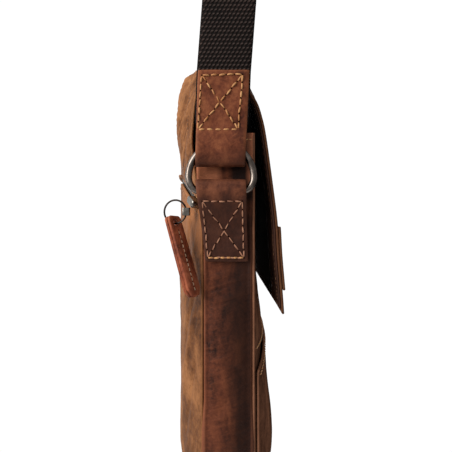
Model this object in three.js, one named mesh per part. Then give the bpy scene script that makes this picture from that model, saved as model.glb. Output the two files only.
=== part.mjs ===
// Leather crossbody bag with a fold-over flap, hung by its shoulder strap.
// Millimetres. X runs across the bag, the front faces -Y and +Z is up.
// Heights below are measured from the underside of the bag. The finished group is then lowered, so
// that the origin is the point on the underside of the strap's arch where the bag hangs.
import * as THREE from "three";
import { mergeVertices } from "three/addons/utils/BufferGeometryUtils.js";

// Sizes of the whole bag
const bagWidth = 360;
const hemHeight = 290;
const cornerRadius = 30;
const bottomRound = 26;
const gussetWidth = 36.8;
const gap = 0.3;
const edgeTrim = 0.7;

// Thicknesses
const leather = 1.9;
const lining = 1.1;
const webbing = 2.4;

// Strap and its fittings on each side
const strapWidth = 39.2;
const strapOffset = 8;
const archSpringHeight = 534;
const tabTop = 334.5;
const tabFold = 263.2;
const webbingEnd = 296;
const ringLevel = 255.5;
const ringShift = 5.1;
const ringHalfWidth = 24.4;
const ringArchHeight = 25.2;
const ringDrop = 10.4;
const ringCorner = 8.5;
const ringWire = 5.2;
const chapeTop = 254;
const chapeBottom = 192.5;
const tabHalfWidth = 18.6;
const tabLoopHalfWidth = 17.9;
const chapeTopHalfWidth = 18.3;
const chapeBottomHalfWidth = 15.7;
const chapeTopShift = 5.6;
const chapeBottomShift = 0.9;
const chapeLoopShift = 0.2;

// Back zip
const zipEndBelowHem = 57;
const zipMiddleBelowHem = 28;
const zipEndHeight = hemHeight - zipEndBelowHem;
const zipMiddleHeight = hemHeight - zipMiddleBelowHem;
const zipCurveShare = 0.42;
const zipSlot = 8;
const zipTapeWidth = 22;
const zipTeethWidth = 5;
const zipTapeDepth = -3.4;
const zipTeethTop = -1.7;
const sliderShare = 0.955;
const sliderWidth = 6.4;
const sliderLength = 12;
const sliderHeight = 7;
const linkSize = 6;
const linkHole = 2;
const pullRingRadius = 9.1;
const pullRingWire = 1.5;
const pullLength = 65;
const pullWidth = 14.5;
const pullThickness = 5;
const pullCorner = 3.4;
const pullHole = 3.5;
const holeBelowTop = 6;
const hangAngle = 6;

// Front pocket
const pocketMouthEdge = 107;
const pocketMouthMiddle = 121;
const pocketGap = 0.8;
const pocketReach = 0.985;
const pocketRiseShare = 0.35;

// Black lining band round the mouth
const collarBelowHem = 28;
const collarAboveHem = 15;
const collarCorner = 12;

// Fineness of the surfaces
const acrossBag = 14;
const lowSteps = 6;
const backRows = 7;
const pocketRows = [0.152, 0.214, 0.283, 0.352].map((share) => share * hemHeight);
const upperRows = [0.4, 0.441, 0.5, 0.552, 0.621, 0.8].map((share) => share * hemHeight);
const frontRows = [...pocketRows, ...upperRows];

// Values that follow from those above
const halfBag = bagWidth / 2;
const rim = gussetWidth / 2 + gap + leather;
const strapPlane = halfBag + strapOffset;
const archRadius = strapPlane;
const loopSlack = 0.4;
const loopRadius = ringWire / 2 + gap + leather;
const hangHeight = archSpringHeight + archRadius - webbing / 2;

// Bulge of the two large panels at mid width as a share of the gusset's width, by height as a share
// of the hem's height.
const bulgeOfPanels = [
  { height: 0.0, front: 0.5435, back: 0.7255 },
  { height: 0.1, front: 0.5435, back: 0.7255 },
  { height: 0.19, front: 0.4783, back: 0.7255 },
  { height: 0.3, front: 0.375, back: 0.7255 },
  { height: 0.4, front: 0.2989, back: 0.7255 },
  { height: 0.44, front: 0.3152, back: 0.7255 },
  { height: 0.5, front: 0.2337, back: 0.7255 },
  { height: 0.55, front: 0.1685, back: 0.7255 },
  { height: 0.62, front: 0.1033, back: 0.7255 },
  { height: 0.8, front: 0.0652, back: 0.7255 },
  { height: 1.0, front: 0.0435, back: 0.7255 },
];

// Outer face of the flap and back yoke, from the zip over the top to the flap's lower edge.
// Each row is one line across the bag: depth and height at the side edge, near it and at mid width.
// Depths are shares of the gusset's width and heights are shares of the hem's height.
const flapRows = [
  { edgeY: 0.6576, edgeZ: 0.8172, nearY: 0.9511, nearZ: 0.8483, midY: 1.2717, midZ: 0.9172 },
  { edgeY: 0.7609, edgeZ: 0.9034, nearY: 1.019, nearZ: 0.9241, midY: 1.2826, midZ: 0.9759 },
  { edgeY: 0.7826, edgeZ: 0.9724, nearY: 1.0462, nearZ: 0.9897, midY: 1.2826, midZ: 1.0276 },
  { edgeY: 0.7473, edgeZ: 1.0448, nearY: 1.0489, nearZ: 1.0655, midY: 1.2717, midZ: 1.0966 },
  { edgeY: 0.6875, edgeZ: 1.1103, nearY: 1.0435, nearZ: 1.1393, midY: 1.2283, midZ: 1.1655 },
  { edgeY: 0.5951, edgeZ: 1.16, nearY: 0.9402, nearZ: 1.189, midY: 1.0462, midZ: 1.2152 },
  { edgeY: 0.337, edgeZ: 1.1869, nearY: 0.6087, nearZ: 1.2179, midY: 0.6522, midZ: 1.2407 },
  { edgeY: 0, edgeZ: 1.181, nearY: 0.1087, nearZ: 1.2086, midY: 0.0815, midZ: 1.2362 },
  { edgeY: -0.25, edgeZ: 1.1534, nearY: -0.2717, nearZ: 1.1793, midY: -0.3804, midZ: 1.2103 },
  { edgeY: -0.4728, edgeZ: 1.1086, nearY: -0.5109, nearZ: 1.131, midY: -0.6413, midZ: 1.1621 },
  { edgeY: -0.6087, edgeZ: 1.0828, nearY: -0.6359, nearZ: 1.0966, midY: -0.7554, midZ: 1.1207 },
  { edgeY: -0.7038, edgeZ: 1.0483, nearY: -0.712, nearZ: 1.0552, midY: -0.8098, midZ: 1.0724 },
  { edgeY: -0.7935, edgeZ: 0.9966, nearY: -0.788, nearZ: 1, midY: -0.8587, midZ: 1.0138 },
  { edgeY: -0.9348, edgeZ: 0.869, nearY: -0.9022, nearZ: 0.8724, midY: -0.9239, midZ: 0.8828 },
  { edgeY: -1.0353, edgeZ: 0.7655, nearY: -0.9891, nearZ: 0.7655, midY: -0.9728, midZ: 0.7724 },
  { edgeY: -1.0788, edgeZ: 0.6759, nearY: -1.0326, nearZ: 0.6759, midY: -1.0054, midZ: 0.6828 },
  { edgeY: -1.1386, edgeZ: 0.5862, nearY: -1.0924, nearZ: 0.5879, midY: -1.0598, midZ: 0.5931 },
  { edgeY: -1.1739, edgeZ: 0.5241, nearY: -1.125, nearZ: 0.5359, midY: -1.0978, midZ: 0.5407 },
];
const liningFirstRow = 5;
const overlayFirstRow = 14.15;
const overlayLastRow = 16;
const facingInnerPlace = 4;

// Middle line of the strap and its tabs: depth as a share of the strap's width, by height as a share
// of the hem's height.
const strapLean = [
  { height: 0.638, depth: 0.016 },
  { height: 0.903, depth: 0.153 },
  { height: 1.152, depth: 0.083 },
  { height: 1.334, depth: -0.023 },
  { height: 1.621, depth: -0.117 },
  { height: 2.759, depth: -0.117 },
];

// Colours
const materials = {
  leatherRed: new THREE.MeshStandardMaterial({ color: 0x7a4630, roughness: 0.6, metalness: 0 }),
  leatherTan: new THREE.MeshStandardMaterial({ color: 0x9a6b45, roughness: 0.6, metalness: 0 }),
  leatherDark: new THREE.MeshStandardMaterial({ color: 0x4c3024, roughness: 0.6, metalness: 0 }),
  blackCloth: new THREE.MeshStandardMaterial({ color: 0x0b0a09, roughness: 0.9, metalness: 0 }),
  strapCloth: new THREE.MeshStandardMaterial({ color: 0x1f1614, roughness: 0.9, metalness: 0 }),
  darkMetal: new THREE.MeshStandardMaterial({ color: 0x8d8680, roughness: 0.3, metalness: 1 }),
  zipCloth: new THREE.MeshStandardMaterial({ color: 0x55504a, roughness: 0.9, metalness: 0 }),
};

const bag = new THREE.Group();

function addMesh(name, geometry, material) {
  const mesh = new THREE.Mesh(geometry, material);
  mesh.name = name;
  bag.add(mesh);
  return mesh;
}

function mix(a, b, share) {
  return a + (b - a) * share;
}

// Value of one column of a table at a place along another, straight between the rows.
function lookUp(rows, along, column, place) {
  for (let i = 1; i < rows.length; i += 1) {
    if (place <= rows[i][along]) {
      const span = rows[i][along] - rows[i - 1][along];
      return mix(rows[i - 1][column], rows[i][column], (place - rows[i - 1][along]) / span);
    }
  }
  return rows[rows.length - 1][column];
}

// Value of one column of a table at a fractional row number.
function atRow(rows, column, row) {
  const first = Math.min(Math.max(Math.floor(row), 0), rows.length - 2);
  return mix(rows[first][column], rows[first + 1][column], row - first);
}

// A closed leather or cloth wall that follows a surface. The surface is sampled at the given places,
// and the wall reaches from one distance to another along the surface's outward normal.
function wall(surface, across, along, outer, inner) {
  const step = 1e-3;
  const points = [];
  const sides = [outer, inner];
  for (const distance of sides) {
    for (const a of across) {
      for (const b of along) {
        const here = surface(a, b);
        const da = surface(a + step, b).sub(surface(a - step, b));
        const db = surface(a, b + step).sub(surface(a, b - step));
        const normal = da.cross(db).normalize();
        const point = here.addScaledVector(normal, distance);
        points.push(point.x, point.y, point.z);
      }
    }
  }
  const rows = across.length;
  const columns = along.length;
  const layer = rows * columns;
  const at = (side, i, j) => side * layer + i * columns + j;
  const faces = [];
  const quad = (a, b, c, d) => faces.push(a, b, c, a, c, d);
  for (let i = 0; i + 1 < rows; i += 1) {
    for (let j = 0; j + 1 < columns; j += 1) {
      quad(at(0, i, j), at(0, i + 1, j), at(0, i + 1, j + 1), at(0, i, j + 1));
      quad(at(1, i, j), at(1, i, j + 1), at(1, i + 1, j + 1), at(1, i + 1, j));
    }
    const last = columns - 1;
    quad(at(0, i, 0), at(1, i, 0), at(1, i + 1, 0), at(0, i + 1, 0));
    quad(at(0, i, last), at(0, i + 1, last), at(1, i + 1, last), at(1, i, last));
  }
  for (let j = 0; j + 1 < columns; j += 1) {
    const last = rows - 1;
    quad(at(0, 0, j), at(0, 0, j + 1), at(1, 0, j + 1), at(1, 0, j));
    quad(at(0, last, j), at(1, last, j), at(1, last, j + 1), at(0, last, j + 1));
  }
  return fromFaces(points, faces);
}

function fromFaces(points, faces) {
  const geometry = new THREE.BufferGeometry();
  geometry.setAttribute("position", new THREE.Float32BufferAttribute(points, 3));
  geometry.setIndex(faces);
  geometry.computeVertexNormals();
  return geometry;
}

// A round wire bent along a closed path of points that lies in one plane.
function closedWire(path, planeNormal, radius, sides) {
  const points = [];
  const faces = [];
  const count = path.length;
  for (let i = 0; i < count; i += 1) {
    const before = path[(i + count - 1) % count];
    const after = path[(i + 1) % count];
    const tangent = after.clone().sub(before).normalize();
    const outward = tangent.clone().cross(planeNormal).normalize();
    for (let k = 0; k < sides; k += 1) {
      const turn = (2 * Math.PI * k) / sides;
      const point = path[i].clone();
      point.addScaledVector(outward, radius * Math.cos(turn));
      point.addScaledVector(planeNormal, radius * Math.sin(turn));
      points.push(point.x, point.y, point.z);
    }
  }
  for (let i = 0; i < count; i += 1) {
    const next = (i + 1) % count;
    for (let k = 0; k < sides; k += 1) {
      const turned = (k + 1) % sides;
      const a = i * sides + k;
      const b = next * sides + k;
      const c = next * sides + turned;
      const d = i * sides + turned;
      faces.push(a, c, d, a, b, c);
    }
  }
  return fromFaces(points, faces);
}

function evenly(first, last, count) {
  return Array.from({ length: count + 1 }, (_, i) => mix(first, last, i / count));
}

// Places across the bag from -1 to 1, closer together near the two side edges.
function acrossPlaces(count, reach = 1) {
  return evenly(-1, 1, count).map((t) => reach * Math.sin((Math.PI / 2) * t));
}

// Half width of the bag's outline at a height, with its two rounded lower corners.
function halfWidthAt(height) {
  const below = Math.max(cornerRadius - height, 0);
  return halfBag - cornerRadius + Math.sqrt(Math.max(cornerRadius ** 2 - below ** 2, 0));
}

// Depth of the outer face of a large panel at a share of the half width and a height.
function panelDepth(column, share, height) {
  const bulge = gussetWidth * lookUp(bulgeOfPanels, "height", column, height / hemHeight);
  const low = Math.max(1 - height / bottomRound, 0);
  const round = (1 - Math.min(low, 1) ** 2.6) ** (1 / 2.6);
  return rim + bulge * (1 - Math.min(Math.abs(share), 1) ** 4) * round;
}

function frontSurface(share, height) {
  const x = share * halfWidthAt(height);
  return new THREE.Vector3(x, -panelDepth("front", share, height), height);
}

// The back panel ends below the zip, so its heights run as shares of the zip's line.
function zipHeight(share) {
  const inward = Math.min((1 - Math.min(Math.abs(share), 1)) / zipCurveShare, 1);
  return mix(zipEndHeight, zipMiddleHeight, Math.sin((Math.PI / 2) * inward));
}

function backPoint(share, height) {
  const x = share * halfWidthAt(height);
  return new THREE.Vector3(x, panelDepth("back", share, height), height);
}

// Heights of the rows in the rounded lower part of the panels.
function lowHeights() {
  const heights = evenly(0, 1, lowSteps).map((t) => bottomRound * (1 - Math.cos((Math.PI / 2) * t)));
  heights[0] = 0.05;
  return heights;
}

// Gusset: a strip down one side, under the bag and up the other side.
function gussetSurface(place, depth) {
  const side = hemHeight - cornerRadius;
  const quarter = (Math.PI / 2) * cornerRadius;
  const bottom = bagWidth - 2 * cornerRadius;
  const whole = 2 * side + 2 * quarter + bottom;
  const half = Math.min(place, 1 - place) * whole;
  const mirror = place <= 0.5 ? -1 : 1;
  let x = halfBag;
  let z = hemHeight - half;
  if (half > side + quarter) {
    x = halfBag - cornerRadius - (half - side - quarter);
    z = 0;
  } else if (half > side) {
    const turn = (half - side) / cornerRadius;
    x = halfBag - cornerRadius + cornerRadius * Math.cos(turn);
    z = cornerRadius - cornerRadius * Math.sin(turn);
  }
  return new THREE.Vector3(mirror * x, -depth * (gussetWidth / 2), z);
}

function gussetPlaces() {
  const side = hemHeight - cornerRadius;
  const quarter = (Math.PI / 2) * cornerRadius;
  const whole = 2 * side + 2 * quarter + bagWidth - 2 * cornerRadius;
  const down = evenly(0, side / whole, 6);
  const turn = evenly(side / whole, (side + quarter) / whole, 7).slice(1);
  const left = [...down, ...turn];
  const right = left.map((place) => 1 - place).reverse();
  return [...left, 0.5, ...right];
}

// Flap and back yoke
function flapSurface(share, row) {
  const away = Math.min(Math.abs(share), 1);
  const edge = Math.min(Math.max((away - 0.88) / 0.12, 0), 1);
  const middle = Math.cos((Math.PI / 2) * Math.min(away / 0.88, 1)) ** 0.55;
  const value = (name, whole) => {
    const near = atRow(flapRows, "near" + name, row);
    const inside = mix(near, atRow(flapRows, "mid" + name, row), middle);
    return whole * mix(inside, atRow(flapRows, "edge" + name, row), edge);
  };
  const byZip = Math.min(Math.max(1 - row / 2, 0), 1);
  const lip = zipHeight(share) + zipSlot / 2;
  const y = mix(value("Y", gussetWidth), panelDepth("back", share, lip), byZip);
  const z = mix(value("Z", hemHeight), lip, byZip);
  return new THREE.Vector3(share * halfBag, y, z);
}

function addBody() {
  const gusset = wall(gussetSurface, gussetPlaces(), evenly(-1, 1, 4), 0, -leather);
  addMesh("gusset", gusset, materials.leatherRed);
  const across = acrossPlaces(acrossBag);
  const front = wall(frontSurface, across, [...lowHeights(), ...frontRows, hemHeight], 0, -leather);
  addMesh("front_panel", front, materials.leatherDark);
  const backSurface = (share, part) => {
    const top = zipHeight(share) - zipSlot / 2;
    return backPoint(-share, Math.max(part, 0) * top);
  };
  const rising = evenly(bottomRound, hemHeight, backRows).slice(1);
  const parts = [...lowHeights(), ...rising].map((h) => h / hemHeight);
  const back = wall(backSurface, across, parts, 0, -leather);
  addMesh("back_panel", back, materials.leatherTan);
}

// Pocket layer on the lower front, whose mouth rises from the seams to the middle.
function addFrontPocket() {
  const risen = (share) => Math.min((1 - Math.abs(share)) / pocketRiseShare, 1);
  const mouth = (share) => mix(pocketMouthEdge, pocketMouthMiddle, risen(share));
  const surface = (share, height) => {
    const above = Math.max(height - bottomRound, 0) / (pocketMouthMiddle - bottomRound);
    return frontSurface(share, Math.min(height, bottomRound) + above * (mouth(share) - bottomRound));
  };
  const heights = [...lowHeights().slice(2), ...pocketRows, pocketMouthMiddle];
  const outer = pocketGap + leather;
  const reached = (share) => Math.sign(share) * Math.min(Math.abs(share), pocketReach);
  const across = acrossPlaces(acrossBag).map(reached);
  const pocket = wall(surface, across, heights, outer, pocketGap);
  addMesh("front_pocket", pocket, materials.leatherDark);
}

// Row numbers at which the flap is sampled: close over the arch and wider down its two sides.
function flapPlaces(first, last) {
  const places = [first];
  for (let row = 0; row < last - 0.1; row += row >= 4 && row < 11 ? 0.5 : 1) {
    if (row > first + 0.1) {
      places.push(row);
    }
  }
  places.push(last);
  return places;
}

function addFlap() {
  const across = acrossPlaces(acrossBag);
  const reversed = (share, row) => flapSurface(-share, row);
  const last = flapRows.length - 1;
  addMesh("flap", wall(reversed, across, flapPlaces(0, last), 0, -leather), materials.leatherTan);
  const inner = -leather - gap;
  const rows = flapPlaces(liningFirstRow, last - 0.25);
  const joint = across[across.length - 1 - (acrossBag / 2 - facingInnerPlace)];
  const within = across.filter((share) => Math.abs(share) < joint - 1e-6);
  const clear = joint - gap / halfBag;
  const cloth = wall(reversed, [-clear, ...within, clear], rows, inner, inner - lining);
  addMesh("flap_lining", cloth, materials.blackCloth);
  const outside = across.filter((share) => share > joint + 1e-6 && share < 1);
  const strip = [joint + gap / halfBag, ...outside, 1 - edgeTrim / halfBag];
  const mirrored = strip.map((share) => -share).reverse();
  for (const [name, places] of [["flap_facing_left", strip], ["flap_facing_right", mirrored]]) {
    addMesh(name, wall(reversed, places, rows, inner, inner - lining), materials.leatherDark);
  }
  const overlayRows = evenly(overlayFirstRow, overlayLastRow, 6);
  const overlay = wall(reversed, across, overlayRows, gap + leather, gap);
  addMesh("flap_overlay", overlay, materials.leatherTan);
}

// Black lining that stands up out of the mouth as one band round the opening.
function addCollar() {
  const halfLength = halfBag - leather - gap;
  const halfDepth = rim - leather - gap;
  const corner = collarCorner;
  const outline = [];
  const corners = [
    { x: halfLength - corner, y: halfDepth - corner, start: 0 },
    { x: -halfLength + corner, y: halfDepth - corner, start: 90 },
    { x: -halfLength + corner, y: -halfDepth + corner, start: 180 },
    { x: halfLength - corner, y: -halfDepth + corner, start: 270 },
  ];
  const steps = 5;
  for (const one of corners) {
    for (let i = 0; i <= steps; i += 1) {
      const angle = THREE.MathUtils.degToRad(one.start + (90 * i) / steps);
      outline.push([one.x, one.y, Math.cos(angle), Math.sin(angle)]);
    }
  }
  const levels = [hemHeight - collarBelowHem, hemHeight, hemHeight + collarAboveHem];
  const points = [];
  const faces = [];
  const count = outline.length;
  for (const inset of [0, lining]) {
    for (const level of levels) {
      for (const [x, y, cx, cy] of outline) {
        points.push(x + (corner - inset) * cx, y + (corner - inset) * cy, level);
      }
    }
  }
  const at = (side, level, i) => (side * levels.length + level) * count + (i % count);
  const quad = (a, b, c, d) => faces.push(a, b, c, a, c, d);
  const top = levels.length - 1;
  for (let i = 0; i < count; i += 1) {
    for (let level = 0; level < top; level += 1) {
      quad(at(0, level, i), at(0, level, i + 1), at(0, level + 1, i + 1), at(0, level + 1, i));
      quad(at(1, level, i), at(1, level + 1, i), at(1, level + 1, i + 1), at(1, level, i + 1));
    }
    quad(at(0, top, i), at(0, top, i + 1), at(1, top, i + 1), at(1, top, i));
    quad(at(0, 0, i), at(1, 0, i), at(1, 0, i + 1), at(0, 0, i + 1));
  }
  addMesh("lining_collar", fromFaces(points, faces), materials.blackCloth);
}

// Sideways lean of the strap: its middle line moves forward on the way up.
function strapCentre(height) {
  return strapWidth * lookUp(strapLean, "height", "depth", height / hemHeight);
}

// Webbing: up one side, over the arch and down the other side.
function addStrap() {
  const rise = archSpringHeight - webbingEnd;
  const arch = Math.PI * archRadius;
  const whole = 2 * rise + arch;
  const surface = (place, depth) => {
    const run = place * whole;
    let x = -archRadius;
    let z = webbingEnd + run;
    if (run > rise + arch) {
      x = archRadius;
      z = archSpringHeight - (run - rise - arch);
    } else if (run > rise) {
      const turn = (run - rise) / archRadius;
      x = -archRadius * Math.cos(turn);
      z = archSpringHeight + archRadius * Math.sin(turn);
    }
    return new THREE.Vector3(x, strapCentre(z) + depth * (strapWidth / 2), z);
  };
  const start = rise / whole;
  const up = evenly(0, start, 6);
  const over = evenly(start, 1 - start, 30).slice(1);
  const down = evenly(1 - start, 1, 6).slice(1);
  const places = [...up, ...over, ...down];
  const strap = wall(surface, places, [-1, 0, 1], webbing / 2, -webbing / 2);
  addMesh("strap_webbing", strap, materials.strapCloth);
}

// A leather strip folded into a loop round a ring. The path is its middle face, as offset from the
// strap's plane away from the bag and height, and the width follows the height.
function foldedStrip(path, side, widthAt, centreAt) {
  const curve = new THREE.CatmullRomCurve3(
    path.map(([offset, height]) => new THREE.Vector3(offset, 0, height)),
    false,
    "centripetal",
  );
  const surface = (place, depth) => {
    const point = curve.getPoint(Math.min(Math.max(place, 0), 1));
    const y = centreAt(point.z) + side * depth * widthAt(point.z);
    return new THREE.Vector3(side * (strapPlane + point.x), y, point.z);
  };
  const places = evenly(0.001, 0.999, 34);
  return wall(surface, places, [-1, 1], leather / 2, -leather / 2);
}

function addStrapTab(name, side) {
  const flat = webbing / 2 + gap + leather / 2;
  const loop = loopRadius - leather / 2 + loopSlack;
  const centre = tabFold + loop + leather / 2;
  const fold = evenly(180, 360, 6).map((degrees) => {
    const angle = THREE.MathUtils.degToRad(degrees);
    return [-loop * Math.cos(angle), centre + loop * Math.sin(angle)];
  });
  const path = [
    [flat, tabTop],
    [flat, mix(webbingEnd, tabTop, 0.5)],
    [flat, webbingEnd + 4],
    [flat + 0.1, webbingEnd - 3],
    [loop * 0.99, ringLevel + ringArchHeight + 1],
    ...fold,
    [-loop * 0.99, ringLevel + ringArchHeight + 1],
    [-flat - 0.1, webbingEnd - 3],
    [-flat, webbingEnd + 4],
    [-flat, mix(webbingEnd, tabTop, 0.5)],
    [-flat, tabTop],
  ];
  const tabShare = (height) => Math.min(Math.max((height - tabFold) / (tabTop - tabFold), 0), 1);
  const widthAt = (height) => mix(tabLoopHalfWidth, tabHalfWidth, tabShare(height));
  addMesh(name, foldedStrip(path, side, widthAt, strapCentre), materials.leatherRed);
}

function addChape(name, side) {
  const loop = loopRadius - leather / 2 + loopSlack;
  const back = -strapOffset + gap + leather / 2;
  const front = back + leather + gap;
  const centre = chapeTop - loop - leather / 2;
  const middle = chapeLoopShift;
  const rise = chapeTop - chapeBottom;
  const fold = evenly(180, 0, 6).map((degrees) => {
    const angle = THREE.MathUtils.degToRad(degrees);
    return [middle + loop * Math.cos(angle), centre + loop * Math.sin(angle)];
  });
  const path = [
    [back, chapeBottom + 2],
    [back, chapeBottom + 0.35 * rise],
    [back + 0.1, chapeBottom + 0.54 * rise],
    [middle - loop, ringLevel - ringDrop - 3],
    ...fold,
    [middle + loop, ringLevel - ringDrop - 3],
    [front + 0.1, chapeBottom + 0.48 * rise],
    [front, chapeBottom + 0.32 * rise],
    [front, chapeBottom],
  ];
  const share = (height) => Math.min(Math.max((height - chapeBottom) / rise, 0), 1);
  const widthAt = (height) => mix(chapeBottomHalfWidth, chapeTopHalfWidth, share(height));
  const centreAt = (height) => mix(chapeBottomShift, chapeTopShift, share(height));
  addMesh(name, foldedStrip(path, side, widthAt, centreAt), materials.leatherRed);
}

// D-shaped ring: an arch above its widest level and a straight bar with round corners below.
function addRing(name, side) {
  const path = [];
  const add = (y, z) => path.push(new THREE.Vector3(side * strapPlane, ringShift + y, ringLevel + z));
  const archSteps = 16;
  for (let i = 0; i <= archSteps; i += 1) {
    const angle = (Math.PI * i) / archSteps;
    add(ringHalfWidth * Math.cos(angle), ringArchHeight * Math.sin(angle));
  }
  const cornerSteps = 4;
  const cornerY = ringHalfWidth - ringCorner;
  for (let i = 1; i <= cornerSteps; i += 1) {
    const angle = (Math.PI / 2) * (i / cornerSteps);
    add(-cornerY - ringCorner * Math.cos(angle), -ringDrop * Math.sin(angle));
  }
  for (let i = 0; i < cornerSteps; i += 1) {
    const angle = (Math.PI / 2) * (1 - i / cornerSteps);
    add(cornerY + ringCorner * Math.cos(angle), -ringDrop * Math.sin(angle));
  }
  const normal = new THREE.Vector3(1, 0, 0);
  addMesh(name, closedWire(path, normal, ringWire / 2, 12), materials.darkMetal);
}

// The back zip: its tape lies behind both leather lips and its teeth run along the middle.
function addZip() {
  const surface = (share, offset) => {
    const height = zipHeight(share) + offset;
    return new THREE.Vector3(-share * halfBag, panelDepth("back", share, height), height);
  };
  const places = acrossPlaces(16, 0.95);
  const half = zipTapeWidth / 2;
  const tape = wall(surface, places, evenly(-half, half, 4), zipTapeDepth, zipTapeDepth - lining);
  addMesh("zip_tape", tape, materials.zipCloth);
  const band = evenly(-zipTeethWidth / 2, zipTeethWidth / 2, 2);
  const teeth = wall(surface, places, band, zipTeethTop, zipTapeDepth + gap);
  addMesh("zip_teeth", teeth, materials.darkMetal);
}

function extruded(shape, depth, bevel) {
  const geometry = new THREE.ExtrudeGeometry(shape, {
    depth: depth - 2 * bevel,
    bevelEnabled: bevel > 0,
    bevelThickness: bevel,
    bevelSize: bevel,
    bevelOffset: -bevel,
    bevelSegments: 1,
    curveSegments: 4,
  });
  geometry.translate(0, 0, bevel - depth / 2);
  geometry.deleteAttribute("normal");
  geometry.deleteAttribute("uv");
  return mergeVertices(geometry, 1e-3);
}

function roundedOutline(width, height, radius) {
  const shape = new THREE.Shape();
  const x = width / 2 - radius;
  const y = height / 2 - radius;
  shape.absarc(x, y, radius, 0, Math.PI / 2, false);
  shape.absarc(-x, y, radius, Math.PI / 2, Math.PI, false);
  shape.absarc(-x, -y, radius, Math.PI, 1.5 * Math.PI, false);
  shape.absarc(x, -y, radius, 1.5 * Math.PI, 2 * Math.PI, false);
  shape.closePath();
  return shape;
}

function roundHole(radius, y) {
  const hole = new THREE.Path();
  hole.absarc(0, y, radius, 0, 2 * Math.PI, true);
  return hole;
}

// Place on the outer face of the back above the zip's middle line, with the outward direction there.
function zipPlace(share) {
  const step = 1e-3;
  const at = (place) => {
    const height = zipHeight(place);
    return new THREE.Vector3(place * halfBag, panelDepth("back", place, height), height);
  };
  const along = at(share - step).sub(at(share + step)).normalize();
  const up = new THREE.Vector3(0, 0, 1);
  const outward = along.clone().cross(up).normalize();
  return { point: at(share), along, outward: outward.multiplyScalar(Math.sign(outward.y)) };
}

// Slider, link, wire ring and leather pull, at the end of the zip near the bag's left side.
function addZipPull() {
  const { point, along, outward } = zipPlace(-sliderShare);
  const sliderBody = extruded(roundedOutline(sliderWidth, sliderLength, 2.2), sliderHeight, 0.7);
  const slider = addMesh("zip_slider", sliderBody, materials.darkMetal);
  const sideways = along.clone().cross(outward).normalize();
  slider.quaternion.setFromRotationMatrix(new THREE.Matrix4().makeBasis(sideways, along, outward));
  const lift = zipTeethTop + gap + sliderHeight / 2;
  slider.position.copy(point).addScaledVector(outward, lift);

  const linkShape = roundedOutline(linkSize, linkSize, 1.2);
  linkShape.holes.push(roundHole(linkHole, 0));
  const link = addMesh("zip_link", extruded(linkShape, linkSize, 0), materials.darkMetal);
  const linkPlace = slider.position.clone().add(new THREE.Vector3(-4.4, 5.3, -7.8));
  link.position.copy(linkPlace);

  // The wire ring passes down through the link, and the pull hangs from its lower side.
  const acrossRing = new THREE.Vector3(0.25, 0.97, 0).normalize();
  const up = new THREE.Vector3(0, 0, 1);
  const ringNormal = up.clone().cross(acrossRing);
  const centre = linkPlace.clone().addScaledVector(acrossRing, pullRingRadius);
  const path = evenly(0, 1, 24).slice(0, -1).map((turn) => {
    const angle = 2 * Math.PI * turn;
    const place = centre.clone().addScaledVector(acrossRing, pullRingRadius * Math.cos(angle));
    return place.addScaledVector(up, pullRingRadius * Math.sin(angle));
  });
  addMesh("pull_ring", closedWire(path, ringNormal, pullRingWire / 2, 8), materials.darkMetal);

  const shape = roundedOutline(pullWidth, pullLength, pullCorner);
  shape.holes.push(roundHole(pullHole, pullLength / 2 - holeBelowTop));
  const pull = addMesh("zip_pull", extruded(shape, pullThickness, 0.6), materials.leatherRed);
  const down = new THREE.Vector3(-0.25, -0.29, -0.95).normalize();
  const face = new THREE.Vector3(-0.57, -0.82, 0);
  face.addScaledVector(down, -face.dot(down)).normalize();
  const long = down.clone().negate();
  const broad = long.clone().cross(face).normalize();
  const lowest = THREE.MathUtils.degToRad(hangAngle);
  const hole = centre.clone().addScaledVector(up, -pullRingRadius * Math.cos(lowest));
  hole.addScaledVector(acrossRing, pullRingRadius * Math.sin(lowest));
  pull.quaternion.setFromRotationMatrix(new THREE.Matrix4().makeBasis(broad, long, face));
  pull.position.copy(hole).addScaledVector(down, pullLength / 2 - holeBelowTop);
}

addBody();
addFrontPocket();
addFlap();
addCollar();
addStrap();
for (const [name, side] of [["left", -1], ["right", 1]]) {
  addStrapTab("strap_tab_" + name, side);
  addChape("side_tab_" + name, side);
  addRing("ring_" + name, side);
}
addZip();
addZipPull();

bag.position.z = -hangHeight;

export default bag;
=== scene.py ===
"""Leather crossbody bag: the looks of every visible piece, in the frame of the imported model."""

import math

import bpy
import numpy as np
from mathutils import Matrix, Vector


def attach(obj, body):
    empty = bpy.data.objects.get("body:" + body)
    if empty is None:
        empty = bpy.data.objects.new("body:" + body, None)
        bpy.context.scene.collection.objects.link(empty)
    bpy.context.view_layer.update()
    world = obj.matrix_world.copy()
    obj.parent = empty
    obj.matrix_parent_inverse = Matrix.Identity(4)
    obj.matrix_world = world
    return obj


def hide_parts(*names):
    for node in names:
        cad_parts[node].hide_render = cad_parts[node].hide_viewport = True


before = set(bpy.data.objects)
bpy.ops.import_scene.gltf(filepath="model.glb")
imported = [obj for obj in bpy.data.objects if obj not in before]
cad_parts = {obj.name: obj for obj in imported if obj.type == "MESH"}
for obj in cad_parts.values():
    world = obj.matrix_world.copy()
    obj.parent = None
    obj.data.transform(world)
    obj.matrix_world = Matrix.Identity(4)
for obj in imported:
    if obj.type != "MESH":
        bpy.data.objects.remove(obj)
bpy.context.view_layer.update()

# Sizes in millimetres, as heights above the underside of the bag.
BAG_WIDTH = 360.0
HALF = BAG_WIDTH / 2
HEM = 290.0
CORNER = 30.0
BOTTOM_ROUND = 26.0
GUSSET = 36.8
GAP = 0.3
LEATHER = 1.9
LINING = 1.1
RIM = GUSSET / 2 + GAP + LEATHER
WEBBING = 2.4
STRAP_WIDTH = 39.2
STRAP_PLANE = HALF + 8.0
ARCH_SPRING = 534.0
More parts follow.
